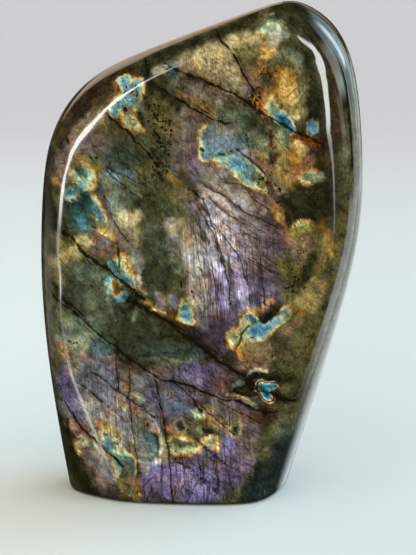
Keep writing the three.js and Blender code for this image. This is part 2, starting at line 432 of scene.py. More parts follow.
    ("amber", 0.5, 1.2, 1.6, 23.4, 119.6, 24.2, 115, 24.4, 111.6),
    ("teal", 0.6, 0.8, 1, 22.8, 104.4, 23.4, 101.8),
    ("pale green", 0.6, 1.4, 1.5, 21.5, 105, 22, 102),
    ("rust", 0.95, 0.9, 0.7, 26, 103.7, 29, 102.4, 32, 101.2),
    (GOLDEN, 24.8, 102.8, 27, 102.7, 29.3, 100.8, 29.8, 98.5, 28.5, 97.2, 26, 98, 24.8, 100),
    ("cream", 0.75, 1.1, 1.2, 25.9, 101.8, 27.6, 99.5),
    ("gold", 0.8, 1.0, 0.8, 23.8, 100, 23.9, 91),
    ("amber", 0.7, 1.5, 1.6, 25.4, 98, 26.8, 95.6),
    ("wheat", 0.85, 1.2, 1.2, 25.8, 101.4, 27.8, 98.8),
    ("gold", 0.6, 2, 2, 20.4, 97, 22, 94),
    ("wheat", 0.5, 1.2, 2, 20.6, 96.6, 21.6, 92),
    ("pink", 0.9, 1.6, 1.3, 29.5, 97, 28, 94.6, 26, 93),
    (LEMON, 27, 91.5, 28, 94, 30.5, 94.8, 32.6, 93.4, 33.6, 91.9, 31, 91.4, 29, 90.4),
    ("pale green", 0.9, 1.1, 1, 28.5, 92.4, 32.6, 92.4),
    ("taupe", 0.8, 2.2, 1.8, 20.8, 89.5, 21.8, 86.8),
    (GOLDEN, 19.9, 84.4, 21.5, 85.2, 22.7, 83, 22.7, 80.2, 21, 79.5, 20.2, 81.5),
    (LEMON, 20.3, 82.9, 22, 82.9, 22.2, 80.9, 20.9, 80.7),
    (LEMON, 23.2, 77.3, 25.2, 78.7, 26.6, 80, 29, 80.4, 30.8, 79.2, 30, 77.3, 27.6, 76.6, 26.2, 75.1,
     24.6, 75.6),
    ("lime", 0.8, 0.9, 1.0, 24.6, 76.8, 27.6, 78.2, 30, 78.6),
    ("orange", 0.6, 0.6, 0.9, 21, 85, 22.6, 80, 24, 76.4),
    ("rust", 0.5, 1.6, 2.2, 32.8, 78.8, 34, 77.4),
    ("gold", 0.8, 1.6, 2, 35.5, 75.5, 35.6, 71.5),
    ("wheat", 0.6, 1.5, 2, 25.2, 75.6, 27.6, 74),
    ("pink", 0.95, 1.6, 1.6, 25, 74, 27, 72.2),
    ("pink", 0.5, 1.3, 1.5, 22.5, 78, 23.3, 76),
    ("taupe", 0.6, 2.5, 2.5, 29, 75, 28, 70),
    ("moss", 0.8, 1.5, 1.5, 22.5, 68.5, 23.5, 66),
    ("cream", 0.55, 3.2, 3, 28.5, 59, 31, 61),
    ("gold", 0.55, 3.6, 3, 28.5, 59, 31, 60),
    ("gold", 0.6, 2, 2, 31.5, 65, 32.5, 69),
    ("rust", 0.5, 1.0, 1.4, 25.8, 55.7, 28, 54.8),
    ("pink", 0.7, 1.5, 1.5, 24, 50.2, 26.5, 51.5),
    # The large blue flash over the violet
    (RIM, -0.8, 105, -0.5, 101, -0.6, 98.7, 0.3, 97.0, 3.5, 96.8, 5, 96.2, 9, 93.6, 11.2, 91, 13, 89.9,
     16.5, 88.6, 18.2, 87.9, 17.6, 91, 17.2, 93.5, 14.5, 96.5, 12, 99.2, 8.5, 101.5, 4, 103.5, 2, 107.5,
     0.5, 106.3),
    ("grey blue", 0.75, 3.0, 2.5, 3.5, 103.5, 7, 102.6, 10.5, 100.5),
    ("grey blue", 0.5, 2.4, 2.5, 3, 105.4, 8, 104.5, 12, 101),
    ("grey green", 0.5, 1.6, 2, 10, 105, 13, 102.5),
    (BLUE, 0.4, 98.8, 2.8, 99.1, 2.9, 97.9, 0.9, 97.8),
    (DEEP, 7, 98.3, 9.5, 98, 11.5, 96.4, 11.8, 94.2, 9.5, 95.6),
    ("teal", 0.4, 1.4, 2, 12, 96.6, 14.4, 94),
    ("pale green", 0.7, 0.8, 0.8, 11.8, 93.2, 14, 91.6),
    ("moss", 0.9, 1.3, 1, 15.2, 92.6, 16.8, 90.4),
    ("taupe", 0.7, 1.5, 1, 1.5, 108.7, 3, 108.5),
    ("rust", 0.4, 0.6, 1.1, 4.6, 107, 6.6, 105.6, 9.4, 105.6),
    ("pink", 0.9, 1.6, 1.2, 14.6, 99, 17.2, 96.4, 18.6, 95.6),
    ("wheat", 0.5, 1.2, 1.6, 15, 99.6, 17.6, 98.4),
    ("rust", 0.6, 0.6, 0.6, 15.4, 97.9, 16.6, 97.2),
    # The flashing corner at the left shoulder
    (CRISP, -22.8, 118, -21, 119.6, -18.6, 118.8, -15.9, 119.4, -15.4, 116, -15.8, 112.4, -17.6, 110.8,
     -20.6, 111.2, -22, 110, -22.8, 108.6, -24.4, 109, -25.2, 111.4, -23.8, 113.8, -21.8, 115.2,
     -21.9, 117),
    (BLUE, -22.5, 118.6, -20, 119.2, -19.6, 117.2, -21.3, 116.6),
    (BLUE, -24.2, 110.6, -22.9, 111, -22.6, 108.9, -24.2, 108.9),
    ("pale green", 0.55, 1.5, 1.2, -18.5, 116.2, -16.6, 112.4),
    ("orange", 0.5, 0.45, 0.9, -23.6, 118, -23, 115.4, -25, 113.2),
    (LEMON, -21.3, 109.3, -19.5, 110.3, -17.6, 109.2, -16.4, 107, -15.4, 105, -18, 104.7, -20.5, 106.6),
    ("grey green", 0.75, 1.0, 1.4, -20.8, 111.6, -19, 110.6),
    ("pale green", 0.8, 1.0, 1, -19.8, 108.6, -18.2, 107),
    ("moss", 0.7, 2, 2, -11, 109, -9.3, 107),
    ("white", 0.6, 0.9, 1.2, -12.6, 120.8, -9.4, 122.2),
    ("blue", 0.7, 0.9, 1, -7.4, 121.8, -7.2, 119.8),
    ("teal grey", 0.6, 1.0, 1, -8, 117.2, -7.6, 116.4),
    ("brown", 0.7, 1.2, 1, -4.8, 119.2, -1.5, 119),
    # The flashes down the left side
    ("gold", 0.7, 1.8, 1.8, -34.3, 97, -31.5, 96, -28.5, 95.6),
    ("moss", 0.8, 1.6, 1.5, -29, 97, -28.3, 93.4),
    (LEMON, -35.6, 95, -33.5, 96.4, -30.6, 95.9, -28.6, 94.6, -28.4, 91.5, -29.4, 89, -31.8, 88.4,
     -35, 90.4, -36.3, 92.5),
    (CRISP, -37.6, 88.4, -36, 89.6, -34.8, 90.6, -33.4, 91.8, -31.6, 91.4, -29.8, 91.6, -29.6, 90,
     -31.2, 88.6, -33, 87.6, -35, 86.8, -37.4, 86.3),
    (DEEP, -37.6, 88.3, -36, 89, -33.8, 88.9, -32.6, 88.2, -35, 87.1, -37.5, 86.6),
    ("teal", 0.8, 1.2, 1.2, -33.4, 94.4, -32.2, 93),
    ("white", 0.85, 0.2, 0.4, -37.2, 86, -35, 86.2, -32.8, 87.5),
    ("teal", 0.55, 1.4, 2, -34.6, 91.4, -31.4, 91.6),
    ("olive", 0.55, 1.1, 1.4, -34, 95.6, -32, 94.8),
    ("mauve", 0.5, 1, 1, -37, 92.5, -36.4, 89.8),
    ("moss", 0.7, 1.2, 1, -40, 88, -39.2, 85.5),
    ("orange", 0.6, 0.7, 0.8, -40.5, 91.4, -38.6, 89.8),
    ("smoky", 0.95, 1.3, 1.2, -36.4, 84.2, -33.4, 84.8, -31.6, 86),
    ("black", 0.8, 0.7, 1.2, -35.6, 84.6, -33, 85.4, -31.6, 86),
    ("olive", 0.8, 1.8, 1.5, -37, 83, -33.5, 84),
    ("teal grey", 0.95, 2.4, 1.6, -33.8, 81.6, -32.6, 79, -30.4, 79),
    ("gold", 0.6, 0.7, 1.0, -34.6, 77, -32, 76.2, -29.6, 77),
    (CRISP, -30.9, 87.4, -28.7, 86.9, -27.3, 84.5, -25.6, 81.4, -25, 78.6, -27, 77.9, -29.4, 80,
     -30.2, 83.4),
    (BLUE, -29.9, 86, -28.4, 84.6, -26.6, 81.4, -27.4, 79.8, -29.4, 83.4),
    (BLUE, -34.8, 81.4, -33.4, 82.4, -31.6, 80.6, -31.4, 78, -32.6, 77.6, -33.6, 79.2),
    ("teal", 0.5, 1.2, 1.6, -34.6, 82.6, -32, 82, -31, 79.4),
    ("teal", 0.45, 0.8, 1.2, -30.2, 86.4, -28.8, 83.8, -27.6, 81.4),
    ("teal", 0.75, 0.8, 1.2, -31, 87, -30.4, 84.4, -29.8, 82),
    ("moss", 0.6, 1.0, 1.2, -27, 78.8, -25.8, 77.6),
    ("mint", 0.5, 1.3, 1.6, -24, 86.4, -22.4, 83.4),
    ("smoky", 0.95, 1.0, 1.0, -36, 84.4, -33.4, 85, -31.8, 86),
    ("khaki", 0.85, 1.5, 1.4, -28, 78.8, -25.8, 77.8),
    ("olive", 0.75, 0.8, 0.8, -30.6, 80.9, -29.3, 79.2),
    ("gold", 0.7, 0.6, 0.6, -30.3, 81.7, -29.3, 81),
    ("grey green", 0.8, 3.6, 2.5, -24, 91, -20, 88),
    ("grey blue", 0.8, 1.4, 1.4, -25.5, 93.7, -22.6, 91.8),
    ("grey blue", 0.6, 1.2, 1.4, -23, 95, -19, 93),
    ("smoky", 0.5, 3.4, 3, -23, 100, -20, 98),
    ("pale green", 0.8, 1.7, 1.5, -24, 87, -23, 83.5, -21.5, 82),
    ("cream", 0.9, 2.1, 1.6, -21, 81.6, -18, 81.8, -20.6, 79.4),
    ("cream", 0.7, 1.6, 1.8, -20.2, 79, -19, 77),
    ("white", 0.4, 1.7, 1.6, -20.6, 81.4, -18.4, 80.4, -17.8, 78.4),
    ("taupe", 0.75, 2.0, 2, -19.6, 77, -18.4, 74),
    ("silver", 0.6, 1.5, 1.5, -24.4, 79.3, -21.7, 77.4),
    ("pink", 0.55, 1.0, 1, -23.5, 76.6, -20.8, 74.8),
    ("dark violet", 0.6, 0.8, 0.8, -27.4, 89.5, -26, 85, -24.9, 82),
    ("moss", 0.85, 2.2, 1.6, -38, 73.5, -34.5, 74),
    ("cream", 0.6, 1.4, 1.4, -37.5, 71.6, -33.5, 72, -31.6, 75.2),
    (LEMON, -35.3, 75.4, -33.2, 76.3, -30.2, 76.2, -29.6, 74.2, -31.6, 73.2, -33.6, 73.6),
    ("pink", 0.7, 1.8, 1.6, -30, 76.6, -28.5, 76),
    (GOLDEN, -28.2, 77.5, -25.8, 77.9, -23.6, 75.5, -22.4, 72.6, -23, 70.8, -24.4, 71.7, -25.5, 74.2,
     -27.8, 75.4),
    ("mauve", 0.95, 1.9, 1.2, -26.7, 74.4, -25.6, 71.6),
    ("pink", 0.8, 1.2, 1.2, -29.4, 71.8, -27.3, 71),
    ("mauve", 0.8, 1.3, 1.2, -22.3, 75.5, -20.6, 73.5),
    (GOLDEN, -22.4, 72, -20.4, 72, -18.7, 68, -17.4, 63.5, -16.6, 61.2, -18.2, 61.8, -19.9, 64.8,
     -21.6, 68.5),
    (LEMON, -23.2, 71, -21.2, 71.4, -20, 68.5, -18.6, 64.8, -17.8, 62.2, -19.6, 63.4, -21.6, 66.6,
     -24.6, 69),
    (BLUE, -25.4, 68.5, -24, 69.3, -22.6, 67.4, -20.8, 66.3, -19, 64, -17.8, 61.4, -20.2, 62.7, -22.8, 65.1,
     -25.2, 67),
    (DEEP, -22, 66, -20.4, 65.3, -19, 63.2, -20.3, 63, -22, 64.6),
    ("teal", 0.6, 1.0, 1.4, -24.4, 69, -22.4, 67.4, -21.4, 66),
    (DEEP, -21.8, 66.2, -19.6, 65, -17.6, 62.8, -18.6, 62.4, -20.8, 63.8),
    ("black", 0.85, 0.45, 0.5, -22.6, 72.8, -22.3, 70, -22.2, 67.8),
    ("white", 0.75, 0.9, 0.9, -18.6, 69.5, -17.2, 66.5, -16.8, 63),
    ("silver", 0.7, 1.2, 1.4, -17.6, 71.4, -16.6, 68),
    ("pink", 0.6, 0.6, 0.8, -18.4, 67.8, -17.4, 63.5),
    ("cream", 0.5, 0.6, 0.8, -16, 61.4, -15, 60),
    (HALO, -24.4, 63.9, -23.4, 64.1, -22.2, 62.6, -21.6, 60.6, -21.9, 59.2, -22.9, 59.1, -24, 60.3,
     -24.7, 62),
    ("olive", 0.75, 0.7, 0.7, -23.4, 62.6, -22.8, 60.8),
    ("grey green", 0.85, 0.9, 1.0, -25.8, 59.8, -24, 58),
    (BLUE, -22.6, 58.9, -21.3, 58.7, -19.9, 59.7, -20.6, 60.6, -21.3, 60),
    ("mint", 0.7, 0.6, 0.8, -26, 62.8, -25.6, 60.9),
    ("moss", 0.8, 0.5, 0.5, -26.3, 61.9, -26.1, 61.4),
    ("moss", 0.8, 1.0, 0.8, -21.5, 61.8, -20, 61.4),
    ("pale green", 0.5, 0.6, 0.8, -25.5, 59, -25, 56, -24, 53),
    ("moss", 0.8, 1.3, 1.0, -15.6, 58, -13, 56.6),
    (LEMON, -16, 58.3, -14.6, 58.6, -12.2, 56.7, -10, 55.2, -11, 54.6, -13.6, 55.7),
    ("rust", 0.7, 0.5, 0.6, -15.6, 57, -13.4, 55.6, -11, 54.6),
    ("pale green", 0.5, 0.8, 1, -17.5, 56, -18.6, 53),
    ("lilac", 0.7, 1.2, 1.2, -11.6, 60, -10.8, 57),
    ("lilac", 0.6, 1.3, 1.2, -8, 59, -7.4, 57),
    ("orange", 0.4, 0.4, 0.9, -10.4, 61, -9.8, 57, -8.6, 56),
    # The dull middle with pale streaks
    ("olive", 0.7, 4, 4, -8, 82, -12, 84),
    ("moss", 0.6, 3, 3, -5, 86, -7, 89),
    ("gold", 0.85, 0.9, 1.2, -8.3, 93, -6.6, 90.4),
    ("gold", 0.6, 0.6, 1.0, -6.2, 92.4, -5.4, 90.4),
    ("silver", 0.8, 1.7, 1.6, -8.2, 79.8, -7.4, 77.4),
    ("cream", 0.6, 0.8, 1, -7.6, 79, -7.4, 77.5),
    ("taupe", 0.6, 2.4, 2, -4.4, 79, -3.6, 75),
    ("pale mauve", 0.8, 1.4, 1.4, 1.2, 86.4, 4, 82.5, 5.6, 79.4),
    ("pale mauve", 0.6, 1.5, 1.5, 5.6, 84, 9, 80),
    ("white", 0.55, 0.9, 1.2, -1.6, 76, -1, 70, -0.6, 66),
    ("frost", 0.6, 1.2, 1.6, 2.4, 77.4, 3.4, 71.6, 4.2, 66),
    ("lavender", 0.5, 1.2, 1, 4.2, 63, 5.4, 59, 6.2, 56),
    ("white", 0.5, 0.7, 0.8, 10.2, 64, 11, 60, 12, 57),
    ("bright lilac", 0.6, 1.3, 1.4, 10.6, 66, 12.4, 57.6),
    ("pink", 0.4, 1, 1, -4, 62, -3, 60),
    ("taupe", 0.5, 2.2, 2.4, 2, 91.4, 7, 89.4),
    ("umber", 0.6, 0.45, 1.1, -0.4, 91.1, 4.7, 88.8, 11.4, 83.3, 16.9, 80.5, 21.4, 78.6),
    ("umber", 0.5, 0.4, 1.0, 1.6, 87.6, 8.3, 82.1, 13.8, 77.4, 20.9, 74.2),
    ("umber", 0.5, 0.45, 1.1, 11.4, 90.7, 16.9, 86, 20.1, 80.5),
    ("umber", 0.55, 0.5, 1.1, 12.2, 77.4, 16.1, 72.7, 21.6, 67.9),
    ("umber", 0.5, 0.4, 1.0, -0.4, 84.8, 1.8, 79.4, 4.7, 72.3, 9.8, 65.2),
    ("umber", 0.45, 0.4, 1.0, 12, 69, 16, 66.4, 20.8, 64.4),
    ("umber", 0.45, 0.4, 1.0, 5.6, 92.4, 9.6, 90, 13.6, 88.6),
    ("dark olive", 0.5, 1.4, 2.0, -5, 93, -2.8, 89, -2, 86.8),
    ("dark olive", 0.4, 0.7, 1.2, -0.8, 83, 0.2, 79.6, 0.8, 75.6),
    ("olive", 0.6, 1.5, 1.5, -5, 64, -4.6, 67),
    # The cyan oval and the bright flash in the middle
    ("rust", 0.6, 0.9, 1, -8, 54.4, -9.4, 53),
    (CRISP, -5.4, 58.9, -4.2, 58.6, -2.7, 57.2, -1.9, 55.2, -1.7, 53.4, -2.1, 51.8, -3.4, 51.6, -5, 52.7,
     -6.4, 53.8, -5.9, 55, -5.9, 57),
    ("pale green", 0.6, 0.6, 0.6, -5.2, 55, -3.9, 54.2),
    (BLUE, -4.4, 57.2, -3.2, 56.4, -2.9, 54.8, -4, 55.6),
    (GOLDEN, 11, 55, 13, 56.6, 17, 57, 19.5, 58.5, 17, 55.4, 13, 54.8),
    (LEMON, 7.4, 49.2, 9, 50.6, 10.8, 51, 11.5, 49.5, 11.6, 46.9, 10.6, 44.6, 8.6, 45.2, 7.6, 46.6),
    (CRISP, 11, 53, 11.8, 54.9, 13.2, 55.8, 14.8, 55.4, 16, 53.9, 18, 53.2, 19.8, 54, 21.6, 55.8, 23, 57,
     24.4, 56.9, 25, 55, 24.5, 53.3, 23, 51.9, 21, 50.6, 19.2, 48.7, 17.2, 47.2, 14, 46.8, 12, 46.9,
     11.3, 48.6, 11.4, 50.5),
    ("teal", 0.7, 0.9, 0.9, 13.2, 54.4, 14.6, 52.8),
    (BLUE, 13, 50.6, 14.6, 51.8, 16.6, 51, 16.4, 49.4, 14.6, 48.9, 13.2, 49.4),
    ("grey green", 0.85, 0.9, 0.8, 21.8, 54.2, 23.8, 54.4),
    ("pale green", 0.5, 0.8, 0.8, 12, 52, 12, 50),
    ("mint", 0.75, 0.8, 1.0, 12.4, 48.4, 14.8, 47.8, 17.8, 48),
    ("mint", 0.5, 1.1, 1.2, 21.6, 53, 24.2, 55.6),
    ("lime", 0.55, 1.1, 1.2, 8.8, 48.8, 10.2, 46.4),
    ("lime", 0.4, 0.6, 0.8, 11.6, 51, 11.8, 53.6),
    ("amber", 0.85, 0.8, 0.8, 10, 45.4, 11.2, 43.2, 11.9, 42.2),
    ("gold", 0.8, 0.9, 1.0, 12.5, 43.4, 16, 42.8, 20, 43),
    ("taupe", 0.7, 1.5, 1.5, 13.5, 45, 18, 45.4),
    ("pink", 0.75, 2.0, 1.8, 12, 40.8, 17, 40.6),
    ("dark olive", 0.95, 1.3, 1.2, 17.3, 53.4, 19, 54, 20.6, 55.8),
    ("black", 0.9, 0.8, 1.2, 17.6, 53, 19, 54.2, 20.6, 56.4),
    ("dark olive", 0.7, 1.2, 1.2, 20, 56.2, 21.6, 57.4),
    # The eye, with its lid, its dark lens and the rings round it
    ("mauve", 0.6, 2, 2, 2, 31.5, 8, 30),
    ("cream", 0.9, 0.5, 0.5, 12.8, 37.2, 14.2, 38.6, 16.2, 39.2, 18.2, 38.9),
    ("grey blue", 0.9, 0.35, 0.4, 12.9, 36.9, 14.1, 38.1, 15.6, 38.6),
    ("black", 0.97, 0.8, 0.6, 13, 36.4, 14.7, 37.6, 17.9, 37),
    ("dark olive", 0.95, 1.3, 1.2, 17, 37, 21.2, 36.4, 25.5, 36),
    ("black", 0.6, 0.7, 1, 18, 36.8, 22, 36.2),
    ("grey blue", 0.8, 0.7, 0.8, 9.2, 34.6, 11.4, 35.5),
    ("dark olive", 0.9, 1.7, 0.8, 10.4, 32.8, 12.6, 33.2, 13.8, 32.8),
    ("brown", 0.8, 0.9, 1.2, 11.4, 32.6, 13.4, 32.4),
    ("black", 0.8, 0.7, 0.8, 9.6, 33, 11, 32.2, 13.6, 31.8),
    ("black", 0.95, 1.1, 0.6, 13.6, 35.8, 14.6, 34.4),
    ("moss", 0.7, 1.1, 1.2, 22.8, 33, 24, 33.6),
    ("black", 0.9, 0.7, 0.7, 20.4, 31.8, 22, 30.8, 24.4, 30),
    ("cream", 0.85, 0.4, 0.5, 7.4, 32.3, 10, 31.5, 12.6, 30.5, 14.6, 29.1),
    ("grey blue", 0.7, 0.5, 0.5, 15, 29.2, 15.8, 28.2),
    ("brown", 0.8, 1.0, 0.8, 17, 28.2, 19, 27.6, 18, 26.6),
    ("brown", 0.8, 1.4, 1.2, 14.5, 25.6, 17.5, 24.4, 20.5, 25),
    ("moss", 0.55, 2, 2, 22, 23, 20, 19),
    # Small flashes in the violet at the bottom
    ("orange", 0.35, 0.6, 1.1, -12.8, 35.4, -11, 34, -8.5, 32),
    ("pink", 0.7, 0.8, 0.9, -9, 32, -7.6, 31),
    (LEMON, 0.2, 28.2, 1.4, 29.5, 2.6, 28.8, 3.4, 27, 4.6, 25.6, 5.4, 24, 4.6, 22.8, 3.2, 24, 1.4, 25.8),
    ("orange", 0.7, 0.6, 0.8, 1.3, 28.8, 3, 27.2),
    (PALE, -1.7, 27.2, -0.6, 28, 0.8, 27.4, 1.4, 26.4, 0.4, 25.4, -1, 25.2),
    ("moss", 0.8, 1.2, 1, -0.6, 24.6, 0.6, 23),
    ("pale green", 0.7, 0.8, 0.8, -0.4, 22.2, 0.2, 21.4),
    ("black", 0.9, 0.7, 0.6, 0.8, 22.2, 3, 21.6),
    (LEMON, 0.4, 19.3, 2.4, 20.2, 4.4, 20, 5.2, 18.2, 4.8, 16.2, 2.8, 17.6),
    (PALE, 1.2, 19.2, 2.4, 19.9, 3.8, 19.2, 3.6, 18.2, 2.2, 18.4),
    ("cream", 0.7, 1.9, 0.7, 9.6, 23.4, 9.6, 22),
    ("grey green", 0.9, 1.3, 0.7, 9.6, 24.2, 9.8, 21.8),
    ("black", 0.7, 0.7, 0.8, 9.5, 22.4, 9.9, 21.4),
    ("cream", 0.65, 1.6, 0.7, -6, 24.2, -5.2, 22.2),
    ("smoky", 0.9, 1.0, 0.7, -5.8, 24, -5.4, 22.6),
    ("orange", 0.6, 0.6, 0.8, -9.6, 23, -7.6, 20.8, -5.4, 20),
    (LEMON, -10.4, 19.8, -8.6, 20.4, -5, 20, -2.6, 18.8, -0.3, 17.8, -0.6, 16.1, -2.6, 15.2, -5.4, 14.7,
     -8, 14.6, -9.6, 16.2),
    ("moss", 0.75, 1.0, 1.2, -7.8, 18.6, -5.2, 18.2),
    ("black", 0.5, 0.5, 1.0, -8.4, 17.6, -6.4, 16.6, -3.6, 17.4),
    ("grey green", 0.7, 0.7, 0.8, -6.6, 18.8, -5.6, 17.8),
    ("moss", 0.7, 0.8, 0.8, -3, 18.2, -1.4, 17.4),
    ("grey blue", 0.9, 2.4, 1.4, -15.4, 18.6, -14, 16),
    ("silver", 0.6, 1.3, 1.6, -18.6, 20.4, -18.4, 15.4),
    ("smoky", 0.8, 0.6, 0.8, -13.4, 21, -12.4, 20.2),
    ("frost", 0.5, 0.9, 1.4, -16.4, 15.4, -14.4, 14.4),
    ("grey green", 0.6, 0.9, 1.2, -15, 16, -13.8, 15.4),
    ("white", 0.8, 0.5, 0.5, -12, 21.8, -11.2, 20.6),
    ("white", 0.75, 0.4, 0.5, -10.9, 19.4, -10.8, 18),
    ("white", 0.7, 0.45, 0.5, -11, 16.6, -11.4, 15.4),
    ("white", 0.8, 0.6, 0.5, -12.6, 13, -11.4, 12.6),
    ("white", 0.75, 0.5, 0.8, -17.4, 12.8, -14.4, 12, -11.6, 12.6),
    ("white", 0.6, 0.35, 0.6, -11.5, 20.4, -11, 18, -11.4, 15),
    ("pale green", 0.5, 1.4, 1.2, -15.4, 15.2, -14, 14.6),
    ("smoky", 0.6, 0.35, 0.6, -12.2, 20, -11.8, 17, -12.2, 14.6),
    ("pink", 0.9, 0.8, 0.7, -15.4, 23.8, -13.6, 22.6, -12.8, 21.8),
    ("black", 0.8, 0.5, 0.5, -15, 23.2, -13.8, 22.6),
    ("lilac", 0.7, 0.9, 0.9, -13.6, 25.4, -12, 23.2),
    ("white", 0.6, 0.7, 1.0, -18, 32, -16.4, 30.4),
    ("orange", 0.4, 0.7, 1.2, -20.8, 34, -20.2, 33),
    ("pink", 0.5, 0.9, 0.9, -21.6, 34.4, -21, 33.6),
    ("pink", 0.75, 1.1, 1.1, -18.6, 28.4, -17.6, 26.6),
    ("cream", 0.75, 0.5, 0.7, -22.8, 31.4, -22.6, 28.6),
    ("cream", 0.5, 0.5, 0.7, -21.4, 30.6, -21.4, 27.6),
    ("lilac", 0.8, 0.8, 0.8, -22.6, 25.4, -22.2, 22.6),
    ("silver", 0.5, 0.35, 0.6, -29, 42.6, -26.4, 42.2, -23.6, 43),
    ("silver", 0.45, 0.5, 0.9, -16.6, 42, -12, 42, -10, 42.4),
    ("pale green", 0.7, 0.35, 0.6, -9.6, 42.6, -7, 41.4, -4, 41.2, -2.8, 41.8),
    ("teal grey", 0.8, 2.6, 2.4, -31, 46, -27, 45),
    ("grey blue", 0.7, 1.6, 1.6, -31, 46.4, -29.4, 45),
    ("pale green", 0.75, 1.8, 2.0, -34.4, 45.4, -31.6, 47.4),
    ("pale green", 0.6, 1.6, 1.6, -37, 52, -36.4, 48),
    # The band of flash at the lower left
    (RIM, -29.6, 22.6, -28.2, 23.8, -26.2, 23.6, -24.6, 22.6, -23.2, 20.4, -22.2, 17.8, -21, 15.7,
     -19.4, 14.6, -18.2, 13, -17.9, 10.6, -17.9, 8.6, -17.2, 5, -17, 1, -19.4, 1.2, -21.6, 3, -23.2, 5.6,
     -24, 8.4, -24.8, 11, -25.8, 13.4, -26.8, 15.6, -27.8, 18, -28.8, 20.4),
    ("orange", 0.75, 1.4, 1.2, -28.2, 22.4, -27, 22.6),
    ("gold", 0.6, 1.2, 1.2, -26, 22, -24.6, 20.6),
    (LEMON, -26.8, 22.6, -25.4, 22.7, -25.2, 20.6, -26.8, 20.8),
    (LEMON, -24.6, 19.8, -23.2, 19.6, -22.8, 17.6, -24.6, 17.6),
    (BLUE, -27.4, 17.6, -26.2, 18.2, -25.2, 17.2, -25.6, 15.9, -26.8, 16.2),
    ("pale green", 0.65, 1.2, 1.2, -24.6, 18.2, -22.6, 15.6),
    ("mint", 0.8, 0.9, 1.2, -24, 18.6, -22.6, 16.6),
    (DEEP, -24.6, 13.8, -23, 14.5, -21.6, 13.2, -22.4, 11.5, -24, 12),
    ("grey green", 0.9, 1.6, 1.4, -20.6, 12.4, -20.2, 9.8),
    ("teal grey", 0.7, 1.0, 1, -21.2, 13, -19.6, 12),
    ("moss", 0.75, 1.2, 1.4, -21, 9.4, -19.8, 5.6),
    ("moss", 0.8, 0.9, 1.0, -19, 5.4, -18.2, 2.2),
    ("rust", 0.45, 0.6, 1.0, -18.8, 8.6, -17.8, 3),
    ("olive", 0.8, 1.3, 1.2, -21.4, 8.8, -20, 6),
    ("pink", 0.6, 0.8, 0.9, -20.4, 7.6, -18.8, 7),
    ("moss", 0.9, 1.2, 1, -22.4, 7, -20.6, 3.2),
    ("gold", 0.8, 0.8, 0.9, -17.6, 6, -18.6, 2.6),
    (LEMON, -36, 16.6, -35, 17.7, -33.8, 17.2, -33.1, 15.6, -33.5, 13.8, -34.6, 13, -35.7, 14),
    ("pale lemon", 0.7, 0.7, 0.7, -34.7, 16.8, -33.9, 15),
    ("orange", 0.4, 0.8, 1, -35.6, 19.6, -34, 18.6),
    ("orange", 0.55, 0.7, 1.0, -39.6, 46, -38.6, 44, -37.6, 42),
    ("orange", 0.5, 0.6, 0.8, -29.9, 7.8, -29.9, 6),
    # Painted highlight: white along the low highlight line on the left bevel
    ("white", 0.45, 0.9, 1.4, -30.2, 18.6, -29, 14.8, -27.4, 12.6),
    ("pink", 0.7, 1.6, 1.8, -36.8, 21.6, -34, 21.4, -32.4, 19.6),
    ("mint", 0.4, 1.4, 1.8, -33.6, 17.8, -29.8, 17.2),
    ("silver", 0.7, 1.2, 1.4, -13.6, 25.6, -13, 22.4),
    ("cream", 0.7, 0.7, 1.0, -17.6, 10.9, -15.2, 10.5),
    ("cream", 0.5, 0.8, 1.2, -10.2, 18.6, -9.8, 16),
    # Darker grains and flecks that are large enough to place one by one
    ("black", 0.9, 0.45, 0.4, -29.6, 97.4, -28.4, 97.8),
    ("black", 0.8, 0.5, 0.5, -36.6, 103, -36, 101.4),
    ("black", 0.85, 0.4, 0.4, -20.8, 111, -20, 110.6),
    ("black", 0.85, 0.4, 0.4, -17.6, 115.2, -16.8, 114.4),
    ("black", 0.85, 0.45, 0.5, -16.6, 110.4, -16, 107),
    ("black", 0.8, 0.4, 0.4, -18.4, 117.4, -17.8, 117.2),
    ("black", 0.85, 0.4, 0.5, -18.8, 110.7, -17.4, 110.7, -16.4, 109),
    ("black", 0.85, 0.6, 0.6, -12.6, 109.6, -11.6, 108.2),
    ("black", 0.85, 0.45, 0.5, -12.8, 104.8, -11.2, 103.2),
    ("black", 0.85, 0.45, 0.5, -12, 102.2, -10.4, 101.6),
    ("black", 0.7, 0.5, 0.6, -11.4, 93.8, -10.6, 93),
    ("black", 0.8, 0.5, 0.7, -30.2, 79.2, -29, 78.2),
    ("black", 0.8, 0.5, 0.5, -31.4, 63.6, -31.2, 63.5),
    ("black", 0.6, 0.35, 0.5, -29.8, 64.2, -29.2, 64.1),
    ("black", 0.6, 0.35, 0.5, -35.3, 64.6, -35, 64.4),
    ("black", 0.85, 0.35, 0.4, -5.1, 64, -5.2, 62.6),
    ("black", 0.75, 0.3, 0.4, -2.6, 61.4, -2.4, 61),
    ("black", 0.7, 0.3, 0.4, -4.9, 61, -4.6, 60.8),
    ("black", 0.8, 0.45, 0.5, 5, 98.9, 6.2, 98.6),
    ("black", 0.8, 0.35, 0.4, 8.2, 99.6, 8.8, 99.4),
    ("black", 0.85, 0.6, 0.6, 0.3, 100, 0.9, 99.7),
    ("brown", 0.95, 0.6, 0.5, 15.2, 97.9, 16.6, 97.1),
    ("brown", 0.9, 0.9, 0.9, 19.2, 98.6, 19.4, 96.6, 20.6, 98.4),
    ("brown", 0.9, 0.5, 0.6, 18.8, 105, 19, 101),
    ("black", 0.9, 0.6, 0.6, 28.5, 117, 28.7, 116.6),
    ("black", 0.8, 0.4, 0.4, 29, 114.5, 29.2, 114.2),
    ("black", 0.9, 0.8, 0.8, 29.6, 109.3, 30.2, 108.8),
    ("black", 0.5, 1.4, 1.6, 33.3, 103, 33.8, 100.6),
    ("black", 0.4, 0.9, 1.2, 36.8, 103.2, 37.6, 101.4),
    ("brown", 0.95, 0.8, 1, 36.2, 123, 37.2, 116, 37.4, 104),
